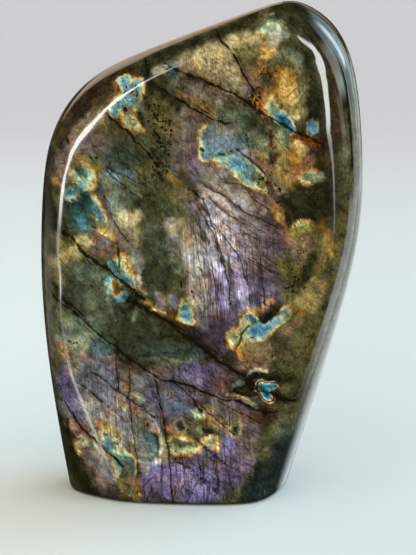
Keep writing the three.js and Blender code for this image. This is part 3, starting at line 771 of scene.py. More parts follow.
    ("dark olive", 0.9, 1.4, 1.6, 22.4, 86.6, 24.6, 84.6, 24.6, 81.6),
    # Light and dark touches on single spots of those zones
    ("wheat", 0.6, 1.1, 1.6, 25.4, 75.8, 27.4, 74.2),
    ("white", 0.5, 0.9, 1.2, 1.6, 27.4, 3.6, 25, 4.6, 23.8),
    ("cream", 0.5, 0.9, 1.2, 2.4, 29, 4.4, 27.6),
    ("moss", 0.75, 0.9, 1.2, -4.6, 18, -2.6, 17.4),
    ("white", 0.4, 0.8, 1.0, 12.4, 48.4, 14.2, 47.8),
    ("white", 0.4, 0.9, 1.2, -24, 18.6, -22.6, 16.6),
    ("rust", 0.35, 1.4, 1.8, 22.4, 121.4, 24, 120),
    ("rust", 0.4, 1.2, 1.6, 26, 95.6, 27, 94),
    ("grey green", 0.5, 1.2, 1.6, 15.6, 133.2, 17.6, 134),
    ("mauve", 0.4, 1.3, 1.8, 9.4, 76.4, 10.2, 73.4),
    ("frost", 0.4, 1.0, 1.4, -13.8, 25.6, -12.8, 23.6),
    ("khaki", 0.5, 1.6, 2.0, -40.6, 76, -39.4, 73.4),
    ("khaki", 0.5, 1.6, 2.0, -40.4, 66.4, -39.4, 63.6),
    ("taupe", 0.4, 1.4, 1.8, -37.2, 22, -35.6, 20.2),
    ("brown", 0.35, 1.4, 1.8, 29.4, 75.8, 30.4, 74),
    ("dark olive", 0.6, 0.8, 1.2, -16.4, 108.8, -15.8, 106.8),
    ("mint", 0.45, 0.9, 1.4, -24, 15, -22.4, 13.4),
    ("moss", 0.5, 1.1, 1.4, -34, 75.4, -32, 74.8),
    ("taupe", 0.5, 1.4, 1.8, -33.8, 15, -32.4, 13.4),
    ("pink", 0.5, 1.2, 1.6, 5.6, 35.2, 7.8, 34.2),
    ("frost", 0.4, 1.2, 1.6, -27, 15, -25.6, 13),
    ("mint", 0.8, 1.2, 1.4, 18.8, 133.4, 20.6, 132.6),
    ("frost", 0.75, 1.2, 1.4, 18.6, 130.6, 20.8, 130.2),
    ("dark olive", 0.6, 0.7, 1.0, 18.6, 135.3, 21, 134.9),
    ("pale lemon", 0.5, 1.1, 1.5, -33.8, 18.2, -32.4, 17),
    ("pink", 0.5, 1.3, 1.8, 16, 86, 17, 83.8),
    ("mint", 0.5, 1.0, 1.4, 12.6, 48.8, 14, 48),
    ("pale green", 0.6, 1.0, 1.3, 12.6, 52.6, 13.6, 51),
    ("wheat", 0.5, 1.1, 1.5, 2.6, 25.4, 4, 23.8),
    ("mauve", 0.5, 1.2, 1.6, 6, 69.2, 7.4, 67.6),
    ("frost", 0.4, 1.3, 1.8, -33.6, 42.4, -32.6, 40.6),
    ("pale lemon", 0.4, 1.3, 1.8, -33.6, 46, -32.6, 44),
    ("rust", 0.4, 1.3, 1.8, 19.4, 121.8, 20.4, 119.8),
    ("brown", 0.3, 1.2, 1.6, 19.2, 121, 20.4, 120.4),
    ("mint", 0.5, 1.3, 1.6, -23.8, 15, -22.6, 13.4),
    ("cream", 0.5, 1.3, 1.8, 5.8, 95.6, 7.6, 94),
    ("frost", 0.35, 1.3, 1.8, 12.4, 98.8, 14, 97.4),
    ("pink", 0.4, 1.3, 1.8, -37, 22, -35.8, 20.4),
    ("cream", 0.6, 1.3, 1.8, 2.4, 128, 4.4, 126.6),
    ("frost", 0.4, 1.2, 1.6, -27, 25.4, -25.8, 23.8),
    ("frost", 0.45, 1.6, 2.0, -0.6, 72, 4, 71.6),
    ("frost", 0.4, 1.3, 1.8, 12.6, 59.2, 13.8, 57.6),
    ("wheat", 0.4, 1.2, 1.6, -3.8, 89, -2.8, 87.6),
    ("moss", 0.5, 1.3, 1.8, -27, 79, -25.8, 77.6),
    ("lilac", 0.4, 1.3, 1.8, -30.4, 35.6, -29.2, 34),
    ("pale green", 0.3, 1.3, 1.8, 22.6, 25.2, 23.8, 23.8),
    ("brown", 0.5, 1.3, 1.8, -13.8, 4.6, -12.6, 2.8),
    ("brown", 0.4, 1.3, 1.8, -17.2, 8, -15.8, 6.4),
    ("black", 0.9, 0.5, 0.6, -38.4, 58.4, -35.4, 56, -32.6, 53.6),
    ("pale lemon", 0.5, 0.9, 1.2, 13, 52.4, 13.6, 51),
    ("dark violet", 0.6, 1.2, 1.6, -7, 4.8, -6.4, 2.8),
    ("frost", 0.25, 1.2, 1.6, 16, 86, 17, 83.8),
    ("pale green", 0.5, 1.4, 1.8, -7, 73, -6.4, 67.4),
    ("wheat", 0.6, 1.0, 1.4, 2.8, 25, 3.8, 24),
    ("mint", 0.3, 1.0, 1.4, -33.6, 18, -32.6, 17.2),
    ("dark olive", 0.6, 1.3, 1.6, -14, 55.6, -12.6, 54.4),
    ("mint", 0.3, 1.2, 1.6, -23.6, 14.8, -22.6, 13.6),
    ("frost", 0.22, 1.2, 1.6, -36.8, 21.6, -36, 20.4),
    ("pale green", 0.4, 1.3, 1.8, -7, 82.4, -6.2, 80.8),
    ("moss", 0.6, 1.3, 1.8, -17, 78.8, -16, 77.8),
    ("mint", 0.3, 0.8, 1.0, 12.8, 48.6, 13.8, 48),
    ("grey green", 0.45, 1.2, 1.6, 19.4, 111.8, 20.2, 110.4),
    ("pale green", 0.35, 1.4, 1.8, 39.4, 99, 40, 97),
    ("dark olive", 0.6, 1.2, 1.6, -17.2, 85.2, -12.6, 84.8),
    ("moss", 0.45, 1.3, 1.8, -37, 72.4, -36, 71),
    ("pale green", 0.5, 1.3, 1.8, -27, 92.2, -25.8, 90.8),
    ("grey blue", 0.4, 1.3, 1.6, -13.8, 35.4, -12.6, 34.2),
    ("smoky", 0.6, 1.0, 1.4, -33.8, 85.4, -32.6, 84.4),
    ("dark olive", 0.45, 1.4, 2.0, 36, 79.2, 36.8, 77.4),
    ("cream", 0.6, 1.2, 1.6, -23.6, 21.8, -22.6, 20.6),
    ("smoky", 0.3, 1.3, 1.8, -23.6, 59, -22.6, 57.8),
    ("teal", 0.4, 1.1, 1.4, -33.6, 88.8, -32.6, 87.8),
    ("olive", 0.5, 1.2, 1.6, 19.4, 124.6, 20.2, 123.4),
    ("teal", 0.5, 0.9, 1.2, 22.8, 108.2, 23.6, 107.4),
    ("olive", 0.5, 1.0, 1.4, 16, 134.8, 17, 134.4),
    ("frost", 0.3, 1.3, 1.8, 6, 95.4, 7.2, 94.2),
    ("blue", 0.3, 0.8, 1.0, 21.4, 132, 22.6, 130.8),
    ("lavender", 0.16, 4, 3, -8, 8, 0, 6, 6, 9),
    ("teal", 0.2, 3.2, 2.5, -34.5, 89, -33, 78),
    ("teal grey", 0.25, 3.5, 3, -18, 47, -4, 43),
    ("grey blue", 0.2, 4, 3, -17, 34, -8, 33),
    ("pale lemon", 0.2, 2.2, 2, 25, 113.6, 26, 110),
    ("silver", 0.5, 1.2, 1.6, -40, 46.6, -39.6, 43.6),
    ("smoky", 0.6, 1.2, 1.6, -33.8, 55.4, -32.6, 54.4),
    ("grey green", 0.45, 1.2, 1.6, -13.8, 52.4, -12.6, 51),
    ("olive", 0.5, 1.3, 1.8, -20.4, 85.4, -19.2, 84.2),
    ("teal grey", 0.45, 1.2, 1.6, 12.6, 95.4, 13.8, 94.2),
    ("taupe", 0.45, 1.2, 1.6, 9.4, 69, 10.4, 67.8),
    ("wheat", 0.4, 1.2, 1.6, 16, 98.6, 17, 97.4),
    ("olive", 0.6, 1.2, 1.6, -27, 105.2, -25.8, 104),
    ("pale lemon", 0.6, 0.8, 1.2, -10.4, 18.4, -9.6, 16.6),
    ("grey green", 0.6, 1.8, 2.4, 22, 21.6, 24.4, 20.4),
    ("dark olive", 0.6, 1.4, 2, 26.6, 62.6, 26, 60.6),
    ("brown", 0.35, 1.0, 1.4, -17, 62.4, -16, 61),
    ("cream", 0.4, 1.4, 1.8, -34.4, 72, -32, 71.4),
    ("pink", 0.4, 1.2, 1.6, 15.6, 85.6, 17.4, 84.4),
    ("moss", 0.6, 1.3, 1.6, 22.4, 51.2, 24, 52.2),
    ("pale lemon", 0.5, 1.0, 1.2, -4, 59, -2.6, 57.6),
    ("brown", 0.8, 1.0, 0.8, 18.2, 90.6, 19.4, 88, 21.2, 86.4),
    # Grains over those touches
    ("black", 0.4, 1.2, 1.4, 30.8, 68.4, 32.8, 69),
    ("dark olive", 0.85, 1.7, 1.8, 30.8, 70, 29, 65.4),
    ("black", 0.9, 0.5, 0.6, 39.7, 118, 40.7, 111, 41.4, 103, 41.6, 95),
    ("black", 0.42, 1.2, 1.4, 24.2, 61.4, 25.6, 62.4),
    ("black", 0.4, 1.0, 1.2, 27.8, 63.6, 28.2, 62),
    ("black", 0.35, 1.0, 1.4, 34.2, 61, 34.6, 57.6),
    ("black", 0.45, 0.9, 1.0, 20.2, 49.4, 20.4, 47.4),
    ("black", 0.4, 0.9, 1.2, 21.6, 50, 23, 48.8),
    ("black", 0.42, 1.0, 1.2, 20.4, 44.6, 22.6, 43.4),
    ("black", 0.4, 0.9, 1.2, 21.4, 41.4, 21.4, 39),
    ("black", 0.4, 0.8, 1.2, 31, 51.8, 32, 50),
    ("black", 0.7, 0.35, 0.4, 14.2, 48.1, 15.2, 48),
    ("brown", 0.8, 0.35, 0.4, -27.4, 19.9, -26.6, 19.8),
    ("moss", 0.9, 0.4, 0.4, -24.6, 17.8, -23.4, 17.6),
    ("brown", 0.85, 0.35, 0.4, -36.6, 18.4, -33.4, 17.6),
    ("brown", 0.7, 0.3, 0.4, -35.6, 19.6, -34.6, 19.2),
    ("black", 0.8, 0.45, 0.5, -36.9, 34.6, -36.6, 32.8),
    ("black", 0.8, 0.35, 0.4, -29.2, 27.2, -28.6, 27.4),
    ("black", 0.6, 0.4, 0.6, -15.8, 31.4, -15.4, 31.2),
    ("olive", 0.7, 0.7, 0.8, -36.6, 43, -35.8, 39.4),
    ("black", 0.8, 0.4, 0.4, -26.8, 15.6, -26.4, 15.2),
    ("brown", 0.85, 0.7, 0.7, -30.8, 9.4, -30.2, 7),
    ("black", 0.7, 1.0, 1.2, -37.6, 23, -37.8, 19),
    ("brown", 0.75, 0.6, 0.6, -17.6, 11.6, -17.4, 9),
    # Chips along the edge of the smoky corner
    ("white", 0.85, 0.45, 0.4, 14.9, 9.6, 14.9, 8.8),
    ("pink", 0.7, 0.3, 0.3, 15.2, 9.6, 15.3, 8.9),
    ("pale green", 0.8, 0.4, 0.4, 12.2, 8.2, 13.3, 7.7),
    ("white", 0.7, 0.35, 0.4, 10, 3.5, 9.8, 3.2),
    ("pale green", 0.7, 0.35, 0.4, 11.5, 4.4, 11.2, 3.8),
    ("white", 0.7, 0.3, 0.4, 14.5, 9.7, 14.8, 9.2),
    ("silver", 0.5, 0.3, 0.6, 12.6, 7.6, 11.4, 5.8, 10.2, 4.4, 8.6, 2.6),
    ("taupe", 0.8, 0.45, 0.5, 18, 16.2, 18.8, 16),
    ("silver", 0.7, 0.25, 0.4, 16.2, 2.9, 18.4, 2.6),
]

# The small eye: middle x and z of a lobe, its turn (degrees) and half length and width (mm)
EYE_LOBES = [(19.1, 34.1, 4, 2.6, 0.95), (17.3, 34.2, -45, 1.5, 1.05), (18.3, 31.9, -48, 1.9, 1.1)]
EYE_REACH = 1.2  # mm either side of the lobes' outline that the rings cover
EYE_RING_END = (21.2, 19.8)  # between these places along X (mm) the rings run out
# Distance outwards (mm) and colour
EYE_RINGS = [
    (-1.0, (20, 92, 136)), (-0.5, (40, 134, 172)), (-0.12, (140, 196, 194)), (0.06, (236, 222, 170)),
    (0.2, (130, 66, 26)), (0.42, (66, 30, 18)), (0.56, (222, 204, 182)), (0.66, (140, 116, 104)),
    (0.84, (50, 44, 34)),
]

# Back and sides, never seen in the photo: the same stone with fewer and duller flashes
BACK = [
    ("grey green", 0.8, 14, 12, -12, 100, 6, 60),
    ("dark olive", 0.7, 8, 6, 24, 120, 34, 80),
    ("moss", 0.6, 8, 7, -26, 84, -30, 60),
    ("violet", 0.8, 8, 6, 4, 40, 16, 24),
    ("mauve", 0.7, 6, 5, -24, 30, -14, 20),
    ("smoky", 0.8, 6, 5, -30, 12, -10, 6),
    ("taupe", 0.7, 5, 5, 0, 118, 14, 112),
    (RIM, -14, 92, -6, 97, 6, 93, 12, 84, 4, 80, -2, 84, -8, 82),
    (GOLDEN, 16, 66, 24, 72, 28, 62, 22, 54, 16, 58),
    (RIM, -22, 48, -14, 53, -6, 47, -8, 40, -16, 38),
    (LEMON, 8, 104, 14, 108, 18, 102, 12, 98),
]

# Dark cracks through the stone: half width (mm), then x and z of each point
CRACKS = [
    (0.42, -15, 124, -14.6, 121, -14.2, 118.8),
    (0.34, -14, 118.5, -12, 117.3, -8, 114.7, -5, 112.7, 0, 109.8, 4, 108, 8, 106.9),
    (0.40, -9.5, 123, -8, 121.9, -4, 120.4, 0, 119, 6, 116.3, 10, 114.5, 14, 112, 20, 108.2, 25, 105.1,
     31, 102.5, 34, 101),
    (0.30, 4.6, 131.5, 5.2, 129.4, 8.6, 126.4, 9.6, 124.6, 10.8, 122, 12.6, 118.6, 14.2, 116.6,
     14.7, 114.8),
    (0.42, -25.6, 109.6, -22, 106.4, -20, 105, -18, 103, -15.5, 100, -13, 97.5, -11.5, 95.6),
    (0.48, -41, 79, -38, 77.6, -36, 75.8, -33, 72.3, -31, 70.5, -29, 69, -25, 66.7, -23, 65, -21, 63.2,
     -19, 61.5, -17, 59.8, -15.4, 58.6),
    (0.55, -20, 58.3, -17, 57.4, -13.5, 55.2, -11, 53.6, -9, 52.4, -6, 50.2, -3, 48, -1, 46.3, 1, 45,
     5, 41.8, 8, 39.9, 10, 38.6, 13, 36.7, 15, 35, 17, 33.3, 19, 32.4, 21.5, 31.4, 24, 30.2, 27, 29.6),
    (0.34, -42, 60.5, -40.5, 58.2, -39, 57.2, -35, 54.7, -31, 51.2, -27, 47.7, -23, 44.5, -19, 41.4,
     -15, 39, -13, 37.5, -11, 36.2, -7, 35.5, -3, 34.6, 0, 33.4, 4, 31.7, 6, 31, 11, 30, 15, 27.8, 18, 26.8,
     21, 27),
    (0.34, -38, 28, -35, 23, -33, 21, -29.5, 18, -27, 15.5, -24, 13.2, -22.2, 11),
    (0.34, -12.6, 36, -11.7, 32, -10.6, 27, -9.8, 21),
    (0.36, -1.5, 30, 0, 27.4),
]

# Thinner cracks, which cross the others
VEINS = [
    (0.26, -39, 60, -37.4, 58.2, -35, 56.2, -32, 53),
    (0.22, -26, 94.4, -22, 91, -19, 88.6, -16, 86),
    (0.22, -25.4, 95, -21, 93, -17, 91, -14, 89.4),
    (0.18, -40.4, 70.6, -37, 67.6, -35, 65),
    (0.24, -24, 81, -21.6, 76.8, -19.6, 74.6),
    (0.30, 10, 100.3, 12.4, 98.2, 14.6, 96.2, 17.4, 93.6),
    (0.20, 12.6, 104, 13.4, 100, 13.6, 97.6),
    (0.24, -6, 114.4, -2, 112.4, 2, 109.9),
    (0.20, 0.5, 124.6, 4, 122, 8, 119),
    (0.2, 24.2, 121.6, 24.5, 116, 24.9, 110.4),
    (0.2, 26.2, 121, 26.5, 114, 27.2, 108),
    (0.18, 28.3, 119, 28.7, 111),
    (0.18, 22.4, 119.6, 25.6, 119.1, 28.6, 119.8),
    (0.18, 21.4, 117, 25, 116.6, 28.2, 117),
    (0.18, 21.8, 114.2, 24.6, 113.8, 28.6, 114.4),
    (0.16, 22.8, 111.8, 26.8, 111.2),
    (0.18, -4, 123, 2, 122.4, 9, 118.6),
    (0.16, 2, 126.6, 5, 121, 5.6, 117),
    (0.16, -2, 119.6, 6, 118, 10, 116),
    (0.18, 10, 127, 14, 122, 17, 117),
    (0.20, 12, 77.4, 15, 75.8, 18, 74.8, 21, 74.2),
    (0.22, 13, 70.2, 17, 68.2, 20.4, 66.6),
    (0.20, 8, 68, 10, 65.2),
    (0.24, 16.4, 70, 16.9, 64, 17.8, 57.4),
    (0.30, 13.2, 51.6, 11.6, 49.4, 10.8, 47.2, 9.4, 44.8),
    (0.26, -34.5, 34.7, -32, 33, -30, 31.5, -27.6, 29.4),
    (0.28, -31, 38, -28, 36.5, -26, 35, -24, 33, -20, 30.5, -17, 28.5, -13, 25.5),
    (0.20, -28, 30.4, -25, 27.6, -22, 25.2),
    (0.24, -19.6, 39, -19.8, 30, -19.2, 24, -18.6, 18, -17.8, 12, -17.4, 8, -15.6, 4, -15, 1),
    (0.24, -23.4, 44, -23.3, 38, -23, 33),
    (0.24, -8, 36, -3.6, 32.2, 1, 28.4, 5.6, 23.8, 9.6, 20.8),
    (0.40, 15.8, 33.3, 18, 32.9, 20.4, 32.2, 23.6, 30.6),
    (0.34, -9.9, 21.6, -9, 16, -8.5, 9, -8, 4, -7.6, 0),
    (0.22, -14.2, 9.8, -13.9, 6, -13.3, 2),
    (0.22, -5.6, 12.6, -0.8, 9.6, 5.2, 2.9),
    (0.24, 0, 18.2, 5.6, 13, 10.8, 9.6),
    (0.20, -1.2, 13.9, 1.6, 7.9, 3.2, 6.2),
    (0.20, 3.6, 13, 4.4, 8.7, 7.2, 4.5),
    (0.22, -6.4, 10.5, -5.2, 3.7, -3.3, 0.8),
    (0.16, -11.3, 6.7, -3.2, 6.9),
    (0.20, -10.9, 12.2, -10.7, 7.9),
    (0.22, 5, 30.4, 11.4, 26.6, 16.6, 23.8),
    (0.20, -4.6, 10.8, -3.6, 5.8, -1, 2),
    (0.18, -14.8, 37, -13, 31.4),
    (0.24, -0.4, 84, 1.6, 80.8, 4.4, 74.8, 6, 69),
    (0.20, 12, 78, 12.4, 70, 13.4, 58),
    (0.26, -6, 23.2, -3, 21, -1, 19.3, 1, 17.5, 5, 14, 7, 12, 10.4, 10),
    (0.22, 0.4, 18.4, 1.6, 15.4, 3.4, 13, 4.4, 10, 5.6, 7, 7, 4.6),
    (0.26, -8, 14.6, -5, 12, -2, 10, 0, 8.3, 1.6, 6.4, 4, 4),
    (0.20, -3, 12.6, 0, 11, 2.6, 9.4, 4.6, 7.2, 6.4, 5.4),
    (0.18, -9, 7.6, -5, 6.8, -1, 7.2, 2, 6),
    (0.20, 1, 10.6, 1.6, 6, 3.2, 2),
    (0.20, 11, 20.6, 12.6, 17, 14.4, 14),
    (0.26, -3.3, 89.6, 0.6, 86.6, 4.7, 75.5, 6.3, 69.5, 7.4, 64.5, 8.3, 57.6),
    (0.24, 0, 85.2, 3.6, 79.7, 7.7, 75, 10.2, 71.4, 11.8, 66.7, 13.2, 62, 13.8, 57.6),
    (0.24, 1.4, 89.6, 6.9, 87.4, 11.8, 83.3, 18.5, 80, 21.2, 78.3),
    (0.2, 1.9, 87.9, 6.1, 83.3, 11.8, 80, 17.9, 77.2),
    (0.2, 4.7, 91.5, 11, 90.7, 14.6, 86.6, 19.8, 83.3),
    (0.2, -2.2, 80.5, 0, 68.7, 1.4, 62),
    (0.2, 2.2, 75, 4.1, 60.3, 4.7, 53.6),
    (0.18, 11.8, 74.2, 21.2, 68.7),
    (0.18, 12.4, 69.5, 21.2, 65.9),
    (0.22, -24, 33.4, -21, 31.4),
    (0.22, -35.6, 8, -33, 4, -30.4, 1),
    (0.20, -27.6, 8, -24.6, 5.6, -22, 3),
]

# Where the fine texture shows: strength, half width, softness, then x and z of each point
LAMELLAE = [
    (0.95, 9, 6, 3, 74, 6, 60),
    (0.7, 7, 5, 16, 70, 14, 58),
    (0.5, 9, 6, -4, 104, 2, 120),
    (0.8, 7, 4, -27, 34, -22, 22),
    (0.7, 8, 5, 0, 34, 8, 20),
    (0.85, 8, 5, -6, 8, 6, 8),
    (0.4, 8, 6, -14, 94, -20, 86),
    (0.4, 6, 5, 24, 96, 24, 112),
]
FRACTURES = [
    (0.6, 10, 5, 4, 92, 14, 84, 16, 68),
    (0.6, 9, 6, -14, 94, -22, 96),
    (0.7, 9, 5, 0, 34, 8, 24),
    (0.6, 9, 4, -30, 34, -20, 34),
    (0.6, 8, 5, 0, 10, 8, 14),
    (0.5, 8, 5, -4, 112, 6, 118),
]
SPECKLES = [
    (1.0, 3.6, 3, -12, 112, -10.5, 104, -11.5, 94),
    (0.9, 2.2, 2, -20, 116, -17, 112),
    (0.9, 2.5, 2, 16, 118, 19, 122, 14, 112),
    (0.8, 2.2, 2, 19, 104, 19.5, 97),
    (0.9, 3.2, 3, 18, 92, 22, 87),
    (0.6, 6, 4, 26, 88, 34, 84),
    (0.9, 3.4, 3, 28, 70, 26, 62),
    (0.7, 3, 3, 22, 50, 21, 42, 22, 36),
    (0.8, 2.4, 2, -36, 46, -36, 40),
    (0.7, 2.5, 2, -33, 64, -28, 63),
    (0.6, 3, 3, -12, 62, -8, 66),
    (0.8, 2, 2, -35, 19, -33, 18),
    (0.8, 2.5, 2, 8, 3, 10, 6),
    (0.7, 3.5, 3, 33, 50, 31, 42),
    (0.6, 2.5, 2, -22, 8, -19, 6),
    (0.7, 2.5, 2, -12, 35, -9, 33),
]


# Painting the markings onto the corners of the mesh

# How strongly the back and sides show lamellae, fractures and specks
REAR_TEXTURE = (0.35, 0.4, 0.3)
FADE_START = 0.0  # depth y (mm) where the face's markings start to fade towards the sides
FADE_END = 9.0
SHEAR_START = -6.0  # behind this depth the cracks run on as slanting sheets
SHEAR_UP = 0.35
SHEAR_SIDE = -0.1
TIGHT_WARP = ((0.32, 0.4), (0.95, 0.28))  # per mm and mm, small wander of the outlines of flashes
LOOSE_WARP = ((0.13, 1.3), (0.5, 0.6))  # per mm and mm, wide wander of the body zones
DAYLIGHT = 1.02  # how brightly the lamps light a white face, so that colours come out as listed
BROAD_STROKE = 2.6  # mm of half width from which a stroke wanders widely
DULL_ORDER = 0.2  # where a flash starts from before anything is painted
CRACK_TAPER = 1.5  # mm over which a crack thins out past its ends
CRACK_REACH = 5.0  # mm beside a crack to which its width is known
VEIN_REACH = 1.1  # the same for a vein
REACH_FADE = 0.4  # mm over which the width runs out there


def smooth_step(low, high, value):
    share = np.clip((value - low) / (high - low), 0, 1)
    return share * share * (3 - 2 * share)


def warped(points, warp):
    """Flat places (x, z) of the corners, sheared behind the face and moved about a little."""
    behind = np.maximum(points[:, 1] - SHEAR_START, 0)
    flat = np.stack([points[:, 0] + behind * SHEAR_SIDE, points[:, 2] - behind * SHEAR_UP], axis=1)
    for rate, reach in warp:
        drift = np.array([noise.noise_vector(Vector(p) * rate)[:2] for p in points.tolist()])
        flat += drift * reach
    return flat


def segment_distance(places, a, b):
    """Distance to a segment, side of it (left positive) and how far along its line."""
    along = np.array(b, float) - np.array(a, float)
    length = max(np.linalg.norm(along), 1e-6)
    along /= length
    offset = places - np.array(a, float)
    run = offset @ along
    nearest = np.clip(run, 0, length)
    apart = np.linalg.norm(offset - nearest[:, None] * along, axis=1)
    side = along[0] * offset[:, 1] - along[1] * offset[:, 0]
    return apart, side, run - length


def pairs(numbers):
    """Points (x, z) from a flat run of numbers."""
    return list(zip(numbers[::2], numbers[1::2]))


def stroke_distance(places, points):
    return np.min([segment_distance(places, a, b)[0] for a, b in zip(points, points[1:])], axis=0)


def outline_depth(places, outline):
    """Distance to a closed outline, positive inside it."""
    ring = outline + outline[:1]
    apart = stroke_distance(places, ring)
    inside = np.zeros(len(places), bool)
    x, z = places[:, 0], places[:, 1]
    for (x0, z0), (x1, z1) in zip(ring, ring[1:]):
        if z0 != z1:
            inside ^= ((z0 > z) != (z1 > z)) & (x < (x1 - x0) * (z - z0) / (z1 - z0) + x0)
    return np.where(inside, apart, -apart)


class Canvas:
    """What is painted at every corner: body colour, flash order and cover, and dark stain."""

    def __init__(self, points):
        self.loose = warped(points, LOOSE_WARP)
        self.tight = warped(points, TIGHT_WARP)
        self.body = np.tile(np.array(COLOURS["olive"], float), (len(points), 1))
        self.order = np.full(len(points), DULL_ORDER)
        self.cover = np.zeros(len(points))
        self.stain = np.zeros(len(points))

    def stroke(self, colour, share):
        self.stain *= 1 - share
        if colour == "black":
            self.stain = np.maximum(self.stain, share)
        else:
            self.body += (np.array(COLOURS[colour]) - self.body) * share[:, None]
            self.cover *= 1 - share

    def flash(self, profile, outline, amount):
        depth = outline_depth(self.tight, outline)
        steps = np.array(profile)
        share = np.interp(depth, steps[:, 0], steps[:, 2]) * (depth > steps[0, 0]) * amount
        target = np.interp(depth, steps[:, 0], steps[:, 1])
        known = share / np.maximum(share + self.cover * (1 - share), 1e-6)
        self.order += (target - self.order) * known
        self.cover += (1 - self.cover) * share
        self.stain *= 1 - share

    def paint(self, marks, amount):
        """Lays marks one over the other."""
        for first, *values in marks:
            if isinstance(first, str):
                strength, half, soft, *places = values
                corners = self.loose if half > BROAD_STROKE else self.tight
                gap = stroke_distance(corners, pairs(places))
                share = strength * smooth_step(half + soft / 2, half - soft / 2, gap)
                self.stroke(first, share * amount)
            else:
                self.flash(first, pairs(values), amount)


def crack_field(places, cracks, reach):
    """A distance that changes sign across every crack, and the half width of the nearest one.

    The width runs out at reach (mm), before the sign of a neighbour's side can draw a line.
    """
    best = np.full(len(places), np.inf)
    sign = np.ones(len(places))
    width = np.zeros(len(places))
    for half, *numbers in cracks:
        points = pairs(numbers)
        nearest = np.full(len(places), np.inf)
        side = np.ones(len(places))
        beyond = np.zeros(len(places))
        last = len(points) - 2
        for n, (a, b) in enumerate(zip(points, points[1:])):
            apart, turn, past = segment_distance(places, a, b)
            closer = apart < nearest - 1e-9
            nearest = np.where(closer, apart, nearest)
            side = np.where(closer, np.where(turn < 0, -1.0, 1.0), side)
            start = -(past + math.dist(a, b)) if n == 0 else -1
            end = past if n == last else -1
            beyond = np.where(closer, np.maximum(np.maximum(start, end), 0), beyond)
        sign *= side
        closer = nearest < best
        best = np.where(closer, nearest, best)
        width = np.where(closer, half * np.clip(1 - beyond / CRACK_TAPER, 0, 1), width)
    return best * sign, width * smooth_step(reach, reach - REACH_FADE, best)


def texture_amount(places, zones):
    amount = np.zeros(len(places))
    for strength, half, soft, *numbers in zones:
        gap = stroke_distance(places, pairs(numbers))
        amount = np.maximum(amount, strength * smooth_step(half + soft / 2, half - soft / 2, gap))
    return amount


def linear(colour):
    share = np.asarray(colour, float) / 255
    return np.where(share <= 0.04045, share / 12.92, ((share + 0.055) / 1.055) ** 2.4)


def add_vector(mesh, name, columns):
    layer = mesh.attributes.new(name, "FLOAT_VECTOR", "POINT")
    layer.data.foreach_set("vector", np.stack(columns, axis=1).astype(np.float32).ravel())


def paint_markings(mesh, points):
    rear = smooth_step(FADE_START, FADE_END, points[:, 1])
    face = 1 - rear
    canvas = Canvas(points)
    canvas.paint(BACK, rear)
    canvas.paint(FACE, face)
    shade = linear(canvas.body) / DAYLIGHT
    add_vector(mesh, "body", [shade[:, 0], shade[:, 1], shade[:, 2]])
    add_vector(mesh, "flash", [canvas.order, canvas.cover, canvas.stain])
    none = np.zeros(len(points))
    add_vector(mesh, "cracks", [*crack_field(canvas.tight, CRACKS, CRACK_REACH), none])
    add_vector(mesh, "veins", [*crack_field(canvas.tight, VEINS, VEIN_REACH), none])
    add_vector(mesh, "texture", [
        np.maximum(texture_amount(canvas.tight, zones) * face, amount * rear)
        for zones, amount in zip((LAMELLAE, FRACTURES, SPECKLES), REAR_TEXTURE)
    ])


def placed(name, data):
    """A new object with this data, in the scene."""
    item = bpy.data.objects.new(name, data)
    bpy.context.collection.objects.link(item)
    return item


def labradorite_stone():
    planes = ground_planes()
    directions, faces = stone_grid()
    points = surface_points(directions, planes)
    normals = surface_normals(points, planes)
    low, high = points.min(axis=0), points.max(axis=0)
    points -= np.array([(low[0] + high[0]) / 2, (low[1] + high[1]) / 2, low[2]])
    mesh = bpy.data.meshes.new("polished_stone")
    mesh.from_pydata((points * MM).tolist(), [], faces)
    paint_markings(mesh, points)
    mesh.shade_smooth()
    mesh.normals_split_custom_set_from_vertices(normals.tolist())
    stone = placed("polished_stone", mesh)
    mesh.materials.append(labradorite_material())
    return stone


# Materials

# Noises over the stone: features per mm, octaves and roughness
FINE = (1.1, 5, 0.6)
COARSE = (0.28, 5, 0.65)
STREAK = (1.25, 4, 0.62)
THIN_STREAK = (3.2, 2, 0.5)
CLOUD = (0.3, 2, 0.5)
TINT_DRIFT = (0.17, 4, 0.65)
JAG = (0.6, 5, 0.7)
SWELL = (0.42, 3, 0.6)
SIDE_CRACK = (0.21, 3, 0.6)
NET_BEND = (0.5, 2, 0.5)
SPECK_GRAIN = (1.25, 2, 0.55)
EYE_WOBBLE = (0.9, 3, 0.6)

# Tints of the body where the drift has these values
BODY_TINTS = [
    (0.30, (1.22, 1.0, 0.66, 1)),
    (0.44, (1.08, 1.0, 0.86, 1)),
    (0.54, (1.0, 1.0, 1.0, 1)),
    (0.70, (0.86, 1.0, 1.04, 1)),
]

# Structures that slant down to the right: the angle, and how fast the noise runs along them
# where it runs at 1 across them. A low rate draws them out.
PLATES = (36, 0.45)
PLATE_RATE = 0.34  # plates per mm
LAMELLA_TURN = (86, 0.06)
DEPTH_RATE = 0.3  # the same through the depth of the stone, for all of them

# How far the noises move a flash's order, its cover and the dark stain
ORDER_SHIFTS = (0.08, 0.2, 0.12, 0.12)  # fine, coarse, streak, plate
COVER_SHIFTS = (0.25, 0.3, 0.6)  # plate, fine, coarse
STAIN_SHIFTS = (1.3, 0.7)  # fine, coarse
FLASH_EDGE = (0.14, 0.86)  # covers between which a flash sets in
STAIN_EDGE = (0.42, 0.72)
STAIN_STRENGTH = 0.94

